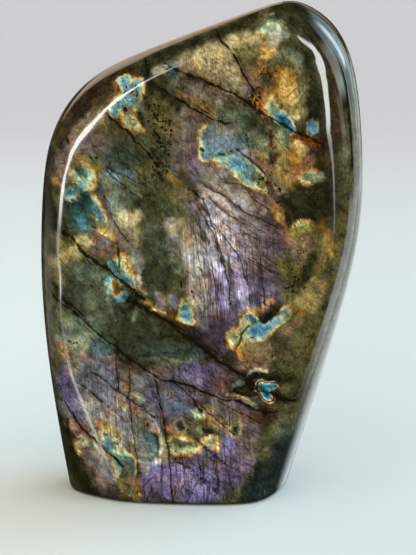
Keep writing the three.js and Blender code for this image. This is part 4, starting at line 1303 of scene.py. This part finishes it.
# Light and dark of the texture: from and to in the noise, then from and to in brightness
MOTTLE_LIGHT = (0.3, 0.7, 0.6, 1.4)
PLATE_LIGHT = (0.0, 1.0, 0.86, 1.14)
GRAIN_LIGHT = (0.25, 0.75, 0.6, 1.42)
LAMELLA_LIGHT = (0.34, 0.66, 0.66, 1.32)
THIN_LAMELLA_LIGHT = (0.36, 0.64, 0.84, 1.14)
SHINING_LAMELLA = (0.58, 0.72, 1.0, 1.55)

# Hairlines: angle down to the right, rate along it, lines per mm and their thickness in the noise
SLANTING_HAIRS = (33, 0.14, 0.5, 0.030)
STEEP_HAIRS = (58, 0.16, 0.36, 0.024)
UPRIGHT_HAIRS = (86, 0.08, 0.6, 0.026)
SLANTING_STRENGTH = (0.6, 0.45)  # share of the painted fractures, and what is there without them
UPRIGHT_STRENGTH = (0.7, 0.3)  # the same of the lamellae
STEEP_STRENGTH = (0.4, 0.6, 0.35, 0.95)  # from and to in the coarse noise, then in strength

# The loose crackle between them
NET_BEND_UP = 1.6  # how much more the net is bent upwards than sideways
NET_RATE = 0.3  # meshes per mm
NET_EDGE = (0.05, 0.008)
NET_STRENGTH = (0.42, 0.6, 0.25, 0.9)
NET_AMONG_LAMELLAE = (-0.85, 1.0)  # what the lamellae take from the net, and what it has

# Cracks: lengths in mm. A pair is from and to, a four is from and to, then what comes out there.
JAG_REACH = 0.75  # how far the line of a crack jumps about
VEIN_JAG = 0.3  # share of it that the veins follow
CRACK_SWELLING = (0.34, 0.68, 0.3, 1.35)
VEIN_SWELLING = (0.35, 0.65, 0.55, 1.15)
CRACK_EDGE = (0.16, -0.14)
VEIN_EDGE = (0.08, -0.1)
CRACK_STRENGTH = (0.05, 0.2, 0.0, 0.96)
VEIN_STRENGTH = (0.02, 0.28, 0.0, 0.9)
WIDE_CRACK = (0.1, 0.3)  # half widths from which a crack has a haze and a thin crack beside it
SIDE_CRACK_PLACE = (4.0, -0.9)  # its way off the crack: reach of the noise, and what is added
SIDE_CRACK_EDGE = (0.2, 0.03, 0.0, 0.7)
HAZE_WIDTHS = 4.0  # half widths of the crack that the brown haze covers
HAZE_EDGE = (0.7, -1.6)
HAZE_TINT = (0.6, 0.5, 0.36, 1)
HAIR_TINT = (0.36, 0.28, 0.2, 1)
DARK_FILLING = (14, 12, 6)  # what fills cracks and specks, sRGB
DARK_STRENGTH = 0.95

# Specks: where the painted amount makes them more, and the noise at the edge of a speck
SPECK_CROWDING = (0.2, 0.5, 0.0, 0.2)
SPECK_EDGE = (0.74, 0.79)

# The eye: lengths in mm
EYE_BLEND = 0.8  # how softly its lobes join
EYE_WOBBLE_REACH = 0.7
EYE_RINGS_EDGE = (1.0, 0.75)  # from and to outwards, where the rings end
EYE_LENS_EDGE = (0.15, -0.15)  # the same for the lens, which has no rings on its right
EYE_DEPTH = (0.0, -4.0)  # depths y between which the eye sets in towards the face

POLISH = (0.3, 0.7, 0.03, 0.06)  # from and to in the fine noise, then in roughness
POLISH_IOR = 1.56

# Thin winding lines
RIDGE_NOISE = (3.0, 0.55)  # octaves and roughness
RIDGE_CORE = 0.15  # part of a line's thickness that is fully dark


class Nodes:
    """Short ways to add and link the nodes of one material."""

    def __init__(self, tree):
        self.tree = tree
        tree.nodes.clear()

    def add(self, kind, **settings):
        node = self.tree.nodes.new(kind)
        for key, value in settings.items():
            setattr(node, key, value)
        return node

    def put(self, socket, value):
        if isinstance(value, bpy.types.NodeSocket):
            self.tree.links.new(value, socket)
        else:
            socket.default_value = value

    def fill(self, node, *values):
        """Puts values into the node's first sockets and returns its first output."""
        for socket, value in zip(node.inputs, values):
            self.put(socket, value)
        return node.outputs[0]

    def math(self, operation, *values):
        return self.fill(self.add("ShaderNodeMath", operation=operation), *values)

    def vector(self, operation, first, second):
        return self.fill(self.add("ShaderNodeVectorMath", operation=operation), first, second)

    def split(self, vector):
        node = self.add("ShaderNodeSeparateXYZ")
        self.put(node.inputs[0], vector)
        return node.outputs

    def join(self, x, y, z):
        return self.fill(self.add("ShaderNodeCombineXYZ"), x, y, z)

    def grey(self, value):
        return self.join(value, value, value)

    def times(self, total, *values):
        for value in values:
            total = self.math("MULTIPLY", total, value)
        return total

    def most(self, total, *values):
        for value in values:
            total = self.math("MAXIMUM", total, value)
        return total

    def sway(self, value, amount, base):
        """The base moved up and down by a noise that runs from 0 to 1."""
        return self.math("MULTIPLY_ADD", self.math("SUBTRACT", value, 0.5), amount, base)

    def run(self, kind, value, low, high, to_low=0.0, to_high=1.0):
        """Takes the run from low to high onto the run from to_low to to_high, and stops there."""
        node = self.add("ShaderNodeMapRange", interpolation_type=kind, clamp=True)
        return self.fill(node, value, low, high, to_low, to_high)

    def step(self, *values):
        return self.run("SMOOTHSTEP", *values)

    def slide(self, *values):
        return self.run("LINEAR", *values)

    def curve(self, value, points):
        """Follows straight lines through points (from, to)."""
        points = sorted(points)
        low, high = points[0][0], points[-1][0]
        bottom = min(to for _, to in points)
        top = max(to for _, to in points)
        if top == bottom:
            return bottom
        node = self.add("ShaderNodeFloatCurve")
        self.put(node.inputs["Value"], self.slide(value, low, high))
        places = [((at - low) / (high - low), (to - bottom) / (top - bottom)) for at, to in points]
        curve = node.mapping.curves[0]
        curve.points[0].location = places[0]
        curve.points[1].location = places[-1]
        for place in places[1:-1]:
            curve.points.new(*place)
        for point in curve.points:
            point.handle_type = "VECTOR"
        node.mapping.update()
        return self.slide(node.outputs[0], 0.0, 1.0, bottom, top)

    def attribute(self, name):
        return self.add("ShaderNodeAttribute", attribute_name=name).outputs["Vector"]

    def noise(self, place, scale, detail, roughness):
        node = self.add("ShaderNodeTexNoise")
        self.put(node.inputs["Vector"], place)
        node.inputs["Scale"].default_value = scale
        node.inputs["Detail"].default_value = detail
        node.inputs["Roughness"].default_value = roughness
        return node.outputs["Fac"]

    def ridge(self, place, scale, thin):
        """Thin winding lines: 1 on a line and 0 beside it."""
        height = self.noise(place, scale, *RIDGE_NOISE)
        off = self.math("ABSOLUTE", self.math("SUBTRACT", height, 0.5))
        return self.step(off, thin, thin * RIDGE_CORE)

    def cells(self, place, scale, feature):
        node = self.add("ShaderNodeTexVoronoi", feature=feature)
        self.put(node.inputs["Vector"], place)
        node.inputs["Scale"].default_value = scale
        return node.outputs

    def mix(self, share, first, second, blend="MIX"):
        node = self.add("ShaderNodeMix", data_type="RGBA", blend_type=blend)
        self.put(node.inputs[0], share)
        self.put(node.inputs[6], first)
        self.put(node.inputs[7], second)
        return node.outputs[2]

    def ramp(self, value, stops):
        node = self.add("ShaderNodeValToRGB")
        self.put(node.inputs[0], value)
        stops = sorted(stops)
        elements = node.color_ramp.elements
        while len(elements) < len(stops):
            elements.new(1.0)
        for element, (position, colour) in zip(elements, stops):
            element.position = position
            element.color = colour
        return node.outputs[0]

    def surface(self, inputs):
        """Ends the material with a shader that has these inputs."""
        shader = self.add("ShaderNodeBsdfPrincipled")
        for name, value in inputs.items():
            self.put(shader.inputs[name], value)
        output = self.add("ShaderNodeOutputMaterial")
        self.put(output.inputs["Surface"], shader.outputs[0])


def new_material(name):
    """A material, its nodes and the coordinates of the object that it is on."""
    material = bpy.data.materials.new(name)
    material.use_nodes = True
    nodes = Nodes(material.node_tree)
    return material, nodes, nodes.add("ShaderNodeTexCoord").outputs["Object"]


def daylight_colour(colour):
    return (*(linear(colour) / DAYLIGHT).tolist(), 1.0)


def tilted_places(nodes, place, degrees, along_rate):
    """Places turned so that one axis runs down to the right at this angle, with its own rate."""
    x, y, z = nodes.split(place)
    turn = math.radians(degrees)
    along = nodes.math("MULTIPLY_ADD", z, -math.sin(turn), nodes.times(x, math.cos(turn)))
    across = nodes.math("MULTIPLY_ADD", z, math.cos(turn), nodes.times(x, math.sin(turn)))
    return nodes.join(nodes.times(along, along_rate), nodes.times(y, DEPTH_RATE), across)


def body_colour(nodes, place):
    """The painted body, drifting between a browner and a cooler tint."""
    drift = nodes.noise(place, *TINT_DRIFT)
    return nodes.mix(1.0, nodes.attribute("body"), nodes.ramp(drift, BODY_TINTS), blend="MULTIPLY")


def flash_colour(nodes, order, fine, coarse, streak, plate):
    for tone, shift in zip((fine, coarse, streak, plate), ORDER_SHIFTS):
        order = nodes.sway(tone, shift, order)
    return nodes.ramp(order, [(at, daylight_colour(colour)) for at, colour in FLASH_ORDER])


def plate_tone(nodes, place):
    """A random value 0 to 1 for each of the slanting plates that the stone is cleft into."""
    plates = nodes.cells(tilted_places(nodes, place, *PLATES), PLATE_RATE, "F1")
    return nodes.split(plates["Color"])[0]


def texture_light(nodes, streak, thin_streak, fine, cloud, plate, lamellae):
    """Light and dark of the grain, the mottling, the plates and the upright lamellae."""
    mottle = nodes.times(nodes.step(cloud, *MOTTLE_LIGHT), nodes.slide(plate, *PLATE_LIGHT))
    grain = nodes.step(fine, *GRAIN_LIGHT)
    lamella = nodes.step(streak, *LAMELLA_LIGHT)
    thin_lamella = nodes.step(thin_streak, *THIN_LAMELLA_LIGHT)
    shine = nodes.step(thin_streak, *SHINING_LAMELLA)
    banded = nodes.times(lamella, thin_lamella, shine)
    banded = nodes.math("MULTIPLY_ADD", nodes.math("SUBTRACT", banded, 1.0), lamellae, 1.0)
    return nodes.times(mottle, grain, banded)


def hair_family(nodes, place, family):
    turn, along_rate, rate, thin = family
    return nodes.ridge(tilted_places(nodes, place, turn, along_rate), rate, thin)


def crackle(nodes, place, lamellae, coarse):
    """A loose net of thin lines, weaker among the lamellae."""
    sway = nodes.noise(place, *NET_BEND)
    bent = nodes.vector("ADD", place, nodes.join(sway, 0.0, nodes.times(sway, NET_BEND_UP)))
    edges = nodes.cells(bent, NET_RATE, "DISTANCE_TO_EDGE")["Distance"]
    return nodes.times(
        nodes.step(edges, *NET_EDGE),
        nodes.step(coarse, *NET_STRENGTH),
        nodes.math("MULTIPLY_ADD", lamellae, *NET_AMONG_LAMELLAE),
    )


def hairlines(nodes, place, fractures, lamellae, coarse):
    """Fine brown fractures in three directions and a loose crackle, 0 to 1."""
    slanting = hair_family(nodes, place, SLANTING_HAIRS)
    steep = hair_family(nodes, place, STEEP_HAIRS)
    upright = hair_family(nodes, place, UPRIGHT_HAIRS)
    return nodes.most(
        nodes.times(slanting, nodes.math("MULTIPLY_ADD", fractures, *SLANTING_STRENGTH)),
        nodes.times(steep, nodes.step(coarse, *STEEP_STRENGTH)),
        nodes.times(upright, nodes.math("MULTIPLY_ADD", lamellae, *UPRIGHT_STRENGTH)),
        crackle(nodes, place, lamellae, coarse),
    )


def main_cracks(nodes, place, coarse):
    """Darkness of the placed cracks and of the brown haze beside them."""
    crack, crack_width, _ = nodes.split(nodes.attribute("cracks"))
    vein, vein_width, _ = nodes.split(nodes.attribute("veins"))
    jag = nodes.times(nodes.math("SUBTRACT", nodes.noise(place, *JAG), 0.5), JAG_REACH)
    line = nodes.math("ADD", crack, jag)
    gap = nodes.math("ABSOLUTE", line)
    half = nodes.times(crack_width, nodes.step(nodes.noise(place, *SWELL), *CRACK_SWELLING))
    dark = nodes.step(nodes.math("SUBTRACT", gap, half), *CRACK_EDGE)
    dark = nodes.times(dark, nodes.step(crack_width, *CRACK_STRENGTH))

    wide = nodes.step(crack_width, *WIDE_CRACK)
    apart = nodes.math("MULTIPLY_ADD", nodes.noise(place, *SIDE_CRACK), *SIDE_CRACK_PLACE)
    beside = nodes.math("ABSOLUTE", nodes.math("SUBTRACT", line, apart))
    beside = nodes.times(nodes.step(beside, *SIDE_CRACK_EDGE), wide)
    haze = nodes.math("SUBTRACT", gap, nodes.times(half, HAZE_WIDTHS))
    haze = nodes.times(nodes.step(haze, *HAZE_EDGE), wide)

    thin_gap = nodes.math("ABSOLUTE", nodes.math("MULTIPLY_ADD", jag, VEIN_JAG, vein))
    thin_half = nodes.times(vein_width, nodes.step(coarse, *VEIN_SWELLING))
    thin = nodes.step(nodes.math("SUBTRACT", thin_gap, thin_half), *VEIN_EDGE)
    thin = nodes.times(thin, nodes.step(vein_width, *VEIN_STRENGTH))
    return nodes.most(dark, beside, thin), haze


def specks(nodes, place, amount, coarse):
    """Black grains of uneven shape, crowded where the painted amount is high."""
    grain = nodes.noise(place, *SPECK_GRAIN)
    crowd = nodes.step(nodes.times(amount, coarse), *SPECK_CROWDING)
    return nodes.step(nodes.math("ADD", grain, crowd), *SPECK_EDGE)


def eye_lobe(nodes, x, z, lobe):
    """Distance outwards (mm) from the outline of one lobe."""
    middle_x, middle_z, turn, half_length, half_width = lobe
    cos, sin = math.cos(math.radians(turn)), math.sin(math.radians(turn))
    east = nodes.math("SUBTRACT", x, middle_x)
    north = nodes.math("SUBTRACT", z, middle_z)
    along = nodes.math("MULTIPLY_ADD", north, sin, nodes.times(east, cos))
    across = nodes.math("MULTIPLY_ADD", north, cos, nodes.times(east, -sin))
    along = nodes.times(along, 1 / half_length)
    across = nodes.times(across, 1 / half_width)
    reach = nodes.math("MULTIPLY_ADD", along, along, nodes.times(across, across))
    return nodes.times(nodes.math("SUBTRACT", nodes.math("SQRT", reach), 1.0), half_width)


def eye_rings(nodes, place):
    """Colour and cover of the small eye: blue lobes inside thin cream and rust rings."""
    x, _, z = nodes.split(place)
    gap, *others = [eye_lobe(nodes, x, z, lobe) for lobe in EYE_LOBES]
    for other in others:
        gap = nodes.math("SMOOTH_MIN", gap, other, EYE_BLEND)
    gap = nodes.sway(nodes.noise(place, *EYE_WOBBLE), EYE_WOBBLE_REACH, gap)
    share = nodes.slide(gap, -EYE_REACH, EYE_REACH)
    rings = nodes.ramp(share, [
        ((at + EYE_REACH) / (2 * EYE_REACH), daylight_colour(colour)) for at, colour in EYE_RINGS
    ])
    left_part = nodes.times(nodes.step(gap, *EYE_RINGS_EDGE), nodes.step(x, *EYE_RING_END))
    return rings, nodes.most(nodes.step(gap, *EYE_LENS_EDGE), left_part)


def labradorite_material():
    material, nodes, coordinates = new_material("polished_labradorite")
    place = nodes.vector("MULTIPLY", coordinates, (1 / MM,) * 3)
    _, depth, _ = nodes.split(place)
    order, cover, stain = nodes.split(nodes.attribute("flash"))
    lamellae, fractures, speckled = nodes.split(nodes.attribute("texture"))

    fine = nodes.noise(place, *FINE)
    coarse = nodes.noise(place, *COARSE)
    lamella_place = tilted_places(nodes, place, *LAMELLA_TURN)
    streak = nodes.noise(lamella_place, *STREAK)
    thin_streak = nodes.noise(lamella_place, *THIN_STREAK)
    plate = plate_tone(nodes, place)

    for tone, shift in zip((plate, fine, coarse), COVER_SHIFTS):
        cover = nodes.sway(tone, shift, cover)
    flash = flash_colour(nodes, order, fine, coarse, streak, plate)
    colour = nodes.mix(nodes.step(cover, *FLASH_EDGE), body_colour(nodes, place), flash)
    rings, eye = eye_rings(nodes, place)
    colour = nodes.mix(nodes.times(eye, nodes.step(depth, *EYE_DEPTH)), colour, rings)

    cloud = nodes.noise(place, *CLOUD)
    light = texture_light(nodes, streak, thin_streak, fine, cloud, plate, lamellae)
    crack, haze = main_cracks(nodes, place, coarse)
    hair = hairlines(nodes, place, fractures, lamellae, coarse)
    for tone, shift in zip((fine, coarse), STAIN_SHIFTS):
        stain = nodes.sway(tone, shift, stain)
    stain = nodes.times(nodes.step(stain, *STAIN_EDGE), STAIN_STRENGTH)
    dark = nodes.most(crack, specks(nodes, place, speckled, coarse), stain)

    colour = nodes.mix(1.0, colour, nodes.grey(light), blend="MULTIPLY")
    colour = nodes.mix(haze, colour, HAZE_TINT, blend="MULTIPLY")
    colour = nodes.mix(hair, colour, HAIR_TINT, blend="MULTIPLY")
    colour = nodes.mix(nodes.times(dark, DARK_STRENGTH), colour, daylight_colour(DARK_FILLING))

    nodes.surface({
        "Base Color": colour,
        "Roughness": nodes.step(fine, *POLISH),
        "IOR": POLISH_IOR,
    })
    return material


FLOOR_SIZE = 16.0  # m
FLOOR_NEAR = (200, 207, 205)
# Painted shadow tone: where the stone's shadow falls, in front of it on its left, the floor is painted
# yellower and a little lighter
FLOOR_SHADOW_TONE = (206, 210, 204)  # in front of the stone, on its left
# Painted shade: right of the stone, where the window light falls, the floor is painted darker
FLOOR_RIGHT_SHADE = (195, 201, 200)
# Painted shade: far behind the stone the floor is painted darker and greyer
FLOOR_FAR_SHADE = (181, 176, 178)
# Runs from and to, in metres along X or Y
RIGHT_SHADE_RUN = (0.0, 0.05)
SHADOW_TONE_RUN = (0.005, -0.035)
SHADOW_TONE_DEPTH_RUN = (0.045, 0.0)
FAR_SHADE_RUN = (0.1, 1.2)
FLOOR_GRAIN = (900, 2, 0.5)  # features per metre, octaves and roughness
FLOOR_SPECKLE = (0.2, 0.8, 0.985, 1.015)
FLOOR_ROUGHNESS = 0.8
FLOOR_SHEEN = 0.1


def plain_colour(colour):
    return (*linear(colour).tolist(), 1.0)


def floor_material():
    material, nodes, coordinates = new_material("pale_floor")
    x, y, _ = nodes.split(coordinates)
    # painted shade on the floor right of the stone
    right = nodes.step(x, *RIGHT_SHADE_RUN)
    # painted shadow tone in front of the stone on its left
    shadow_tone = nodes.times(nodes.step(x, *SHADOW_TONE_RUN), nodes.step(y, *SHADOW_TONE_DEPTH_RUN))
    colour = nodes.mix(right, plain_colour(FLOOR_NEAR), plain_colour(FLOOR_RIGHT_SHADE))
    colour = nodes.mix(shadow_tone, colour, plain_colour(FLOOR_SHADOW_TONE))
    # painted shade: the floor darker further back
    colour = nodes.mix(nodes.step(y, *FAR_SHADE_RUN), colour, plain_colour(FLOOR_FAR_SHADE))
    speckle = nodes.step(nodes.noise(coordinates, *FLOOR_GRAIN), *FLOOR_SPECKLE)
    colour = nodes.mix(1.0, colour, nodes.grey(speckle), blend="MULTIPLY")

    nodes.surface({
        "Base Color": colour,
        "Roughness": FLOOR_ROUGHNESS,
        "Specular IOR Level": FLOOR_SHEEN,
    })
    return material


def pale_floor():
    half = FLOOR_SIZE / 2
    mesh = bpy.data.meshes.new("pale_floor")
    corners = [(-half, -half, 0), (half, -half, 0), (half, half, 0), (-half, half, 0)]
    mesh.from_pydata(corners, [], [(0, 1, 2, 3)])
    floor = placed("pale_floor", mesh)
    mesh.materials.append(floor_material())
    floor.visible_glossy = False
    return floor


# Screens round the stone that its polish mirrors, as angles seen from it: azimuth from the
# viewer's direction (right positive) and height, in degrees, then how soft their edges are,
# their colour and brightness.
SCREENS = [
    ("window at the top right", (101, 134), (23, 35), 6, (0.64, 0.92, 1.06), 1.7),
    ("lower part of that window", (108, 134), (9, 23), 3, (0.7, 0.94, 1.04), 1.7),
    ("bright middle of that window", (112, 119), (16, 33), 5, (0.76, 0.99, 1.06), 6.5),
    ("thin slat of that window", (107.6, 108.8), (3, 30), 1, (0.86, 0.97, 1.0), 2.4),
    ("second thin slat", (121.4, 122.6), (4, 28), 1, (0.9, 0.97, 1.0), 2.4),
    ("thin bar beside the rim", (124, 126), (-2, 26), 1.5, (0.9, 0.97, 1.0), 2.4),
    ("low bar beside the rim", (134, 137), (-14, 8), 2, (0.95, 1.0, 1.0), 1.0),
    ("wall on the right", (106, 150), (-8, 9), 3, (0.84, 0.98, 1.04), 1.2),
    ("pale board low on the right", (90, 124), (-27, -7), 6, (0.88, 0.98, 1.03), 2.2),
    ("its far end", (124, 168), (-26, -7), 6, (0.88, 0.99, 1.05), 1.12),
    ("narrow screen on the right", (83, 101), (10, 18), 7, (0.92, 1.0, 0.97), 4.0),
    ("dim screen above it", (84, 104), (18, 30), 6, (0.9, 0.98, 0.96), 2.2),
    ("dim screen below it", (72, 86), (1, 10), 6, (0.98, 1.0, 0.94), 1.2),
    ("brown screen high on the left", (-190, -156), (16, 41), 6, (1.0, 0.76, 0.55), 1.3),
    ("its brighter end", (-156, -132), (22, 47), 7, (1.0, 0.82, 0.64), 1.9),
    ("pale wall behind the slope", (-190, -160), (-3, 16), 5, (1.0, 0.88, 0.78), 0.8),
    ("brown screen behind the crest", (138, 190), (20, 34), 5, (1.0, 0.8, 0.62), 0.7),
    ("dim board low on the left", (-138, -108), (-17, -7), 4, (1.0, 1.0, 0.95), 0.3),
]

# Long bent lamps that draw the bright lines on the shoulders. Along each, the angle it runs
# with, then the angle of its middle line, its half width and its brightness there.
LEFT_LAMP = [
    (-25, -45, 3.0, 3.0), (-23, -45, 3.4, 6.0), (-20, -49, 4.2, 5.0), (-15, -50, 5, 2.5),
    (-12, -62, 5, 1.5), (-10.3, -65.4, 3.4, 1.8), (-9.7, -65.8, 3, 10), (-9.2, -66, 3, 14),
    (-8.6, -69, 5, 6), (-7.6, -84, 8, 2.4), (-6.7, -82, 8.5, 2.6), (-6.2, -76, 7.5, 7),
    (-5.4, -71, 6.4, 14), (-4, -63, 7.6, 16), (-2, -57, 5.4, 16), (1, -50.5, 4.8, 16),
    (7, -44.5, 4.8, 16), (16, -47.5, 6, 16), (25, -50.5, 5.8, 16), (30, -57, 6, 16), (34, -61, 6.4, 15),
    (38, -62, 5, 14),
]
TOP_LAMP = [
    (-64, 37.4, 2.2, 15), (-58, 36.4, 2.4, 16), (-52, 36, 2.4, 16), (-46, 36, 2.2, 15), (-40, 36, 2.0, 13),
    (-34, 36.4, 2.0, 10), (-28, 36.4, 2.0, 6), (-22, 36.4, 2.2, 3), (-17, 35.6, 2.2, 1), (-13, 35, 2.0, 0),
]
RIGHT_LAMP = [
    (-14, 50, 1.2, 0), (-9, 47, 1.4, 1.6), (-5, 43.5, 1.6, 3), (-1, 42, 1.8, 4.5), (0.3, 40, 3.5, 4),
    (1.2, 38.5, 4.4, 5), (2, 37.2, 3.4, 10), (3, 39.5, 3.8, 13), (5, 41.5, 4.6, 14), (7.5, 43.2, 5, 14),
    (10.5, 46, 5.2, 14), (14, 50, 6, 13), (18, 52.6, 6.6, 13), (21.4, 57.5, 8.4, 13), (24.6, 62.8, 7.4, 13),
    (28.6, 65.8, 7, 13),
]
RIGHT_TOP_LAMP = [
    (43, 27.2, 0.6, 8), (46, 27.7, 1.0, 13), (51, 28.4, 1.1, 13), (57, 28.9, 1.3, 13), (62, 29.0, 1.6, 13),
    (68, 29.2, 1.9, 13), (71, 28.8, 1.6, 13),
]
GLOW_REACH = 12.0  # degrees that the soft glow round a lamp reaches
LAMP_EDGE = 0.8  # degrees either side of a lamp's edge over which it fades
# How bright the glow beside a lamp is, as a share of the lamp
LEFT_GLOW = 0.12
TOP_GLOW = 0.04
RIGHT_GLOW = 0.02
LAMP_COLOUR = (1.0, 0.985, 0.95)
RIGHT_LAMP_COLOUR = (0.97, 1.0, 0.98)
ROOM = (0.03, 0.031, 0.029)

# Soft light that the surfaces scatter: an even dome, a fill from the front and a cooler window
# on the right, whose shadow falls to the left
DOME = (0.66, 0.57, 0.47)
FILL = ((0, 35), 2.0, (1.02, 1.14, 1.12))  # azimuth and height, focus, brightness
WINDOW = ((108, 32), 6.0, (2.8, 3.7, 4.6))


def aimed(angles):
    azimuth, height = (math.radians(angle) for angle in angles)
    return (
        math.sin(azimuth) * math.cos(height),
        -math.cos(azimuth) * math.cos(height),
        math.sin(height),
    )


def box_glow(nodes, azimuth, height, box):
    _, (left, right), (low, high), soft, tint, level = box
    share = nodes.times(
        nodes.step(height, low - soft / 2, low + soft / 2),
        nodes.step(height, high + soft / 2, high - soft / 2),
        nodes.step(azimuth, left - soft / 2, left + soft / 2),
        nodes.step(azimuth, right + soft / 2, right - soft / 2),
    )
    return nodes.vector("MULTIPLY", nodes.grey(share), tuple(c * level for c in tint))


def lamp_glow(nodes, along, across, lamp, tint, glow):
    """A bent band of light: it ends where its first and last points are."""
    starts, middles, halves, levels = zip(*lamp)
    middle = nodes.curve(along, list(zip(starts, middles)))
    half = nodes.curve(along, list(zip(starts, halves)))
    level = nodes.curve(along, list(zip(starts, levels)))
    apart = nodes.math("ABSOLUTE", nodes.math("SUBTRACT", across, middle))
    past = nodes.math("SUBTRACT", apart, half)
    first, last = starts[0], starts[-1]
    share = nodes.times(
        nodes.most(nodes.step(past, LAMP_EDGE, -LAMP_EDGE), nodes.step(past, GLOW_REACH, 0.0, 0.0, glow)),
        nodes.step(along, first - LAMP_EDGE, first + LAMP_EDGE),
        nodes.step(along, last + LAMP_EDGE, last - LAMP_EDGE),
        level,
    )
    return nodes.vector("MULTIPLY", nodes.grey(share), tint)


def mirrored_room(nodes, azimuth, height):
    total = ROOM
    for box in SCREENS:
        total = nodes.vector("ADD", total, box_glow(nodes, azimuth, height, box))
    left = nodes.vector(
        "MAXIMUM",
        lamp_glow(nodes, height, azimuth, LEFT_LAMP, LAMP_COLOUR, LEFT_GLOW),
        lamp_glow(nodes, azimuth, height, TOP_LAMP, LAMP_COLOUR, TOP_GLOW),
    )
    right = nodes.vector(
        "MAXIMUM",
        lamp_glow(nodes, height, azimuth, RIGHT_LAMP, RIGHT_LAMP_COLOUR, RIGHT_GLOW),
        lamp_glow(nodes, azimuth, height, RIGHT_TOP_LAMP, RIGHT_LAMP_COLOUR, RIGHT_GLOW),
    )
    return nodes.vector("ADD", total, nodes.vector("ADD", left, right))


def soft_room(nodes, direction):
    total = DOME
    for angles, focus, brightness in (FILL, WINDOW):
        node = nodes.add("ShaderNodeVectorMath", operation="DOT_PRODUCT")
        nodes.put(node.inputs[0], direction)
        nodes.put(node.inputs[1], aimed(angles))
        facing = nodes.math("MAXIMUM", node.outputs["Value"], 0.0)
        glow = nodes.grey(nodes.math("POWER", facing, focus))
        total = nodes.vector("ADD", total, nodes.vector("MULTIPLY", glow, brightness))
    return total


def room_light():
    world = bpy.data.worlds.new("studio")
    bpy.context.scene.world = world
    world.use_nodes = True
    nodes = Nodes(world.node_tree)
    direction = nodes.add("ShaderNodeTexCoord").outputs["Generated"]
    x, y, z = nodes.split(direction)
    azimuth = nodes.math("ARCTAN2", x, nodes.math("MULTIPLY", y, -1.0))
    azimuth = nodes.math("MULTIPLY", azimuth, math.degrees(1))
    height = nodes.math("MULTIPLY", nodes.math("ARCSINE", z), math.degrees(1))
    mirrored = nodes.add("ShaderNodeLightPath").outputs["Is Glossy Ray"]
    light = nodes.mix(mirrored, soft_room(nodes, direction), mirrored_room(nodes, azimuth, height))
    background = nodes.add("ShaderNodeBackground")
    nodes.put(background.inputs["Color"], light)
    output = nodes.add("ShaderNodeOutputWorld")
    nodes.put(output.inputs["Surface"], background.outputs[0])


# The photo's viewpoint
AIM = Vector((0.00203, -0.00172, 0.06155))
CAMERA_DISTANCE = 0.480  # m
CAMERA_HEIGHT_ANGLE = 11.0  # degrees
LENS = 109.1  # mm
SENSOR_WIDTH = 36.0  # mm


def photo_camera():
    data = bpy.data.cameras.new("photo_camera")
    data.lens = LENS
    data.sensor_width = SENSOR_WIDTH
    camera = placed("photo_camera", data)
    tilt = math.radians(CAMERA_HEIGHT_ANGLE)
    offset = Vector((0, -math.cos(tilt), math.sin(tilt))) * CAMERA_DISTANCE
    camera.location = AIM + offset
    camera.rotation_euler = (-offset).to_track_quat("-Z", "Y").to_euler()
    bpy.context.scene.camera = camera


def main():
    stone = labradorite_stone()
    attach(stone, "root")
    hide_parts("stone")
    pale_floor()
    room_light()
    photo_camera()
    bpy.context.scene.view_settings.view_transform = "Standard"


main()
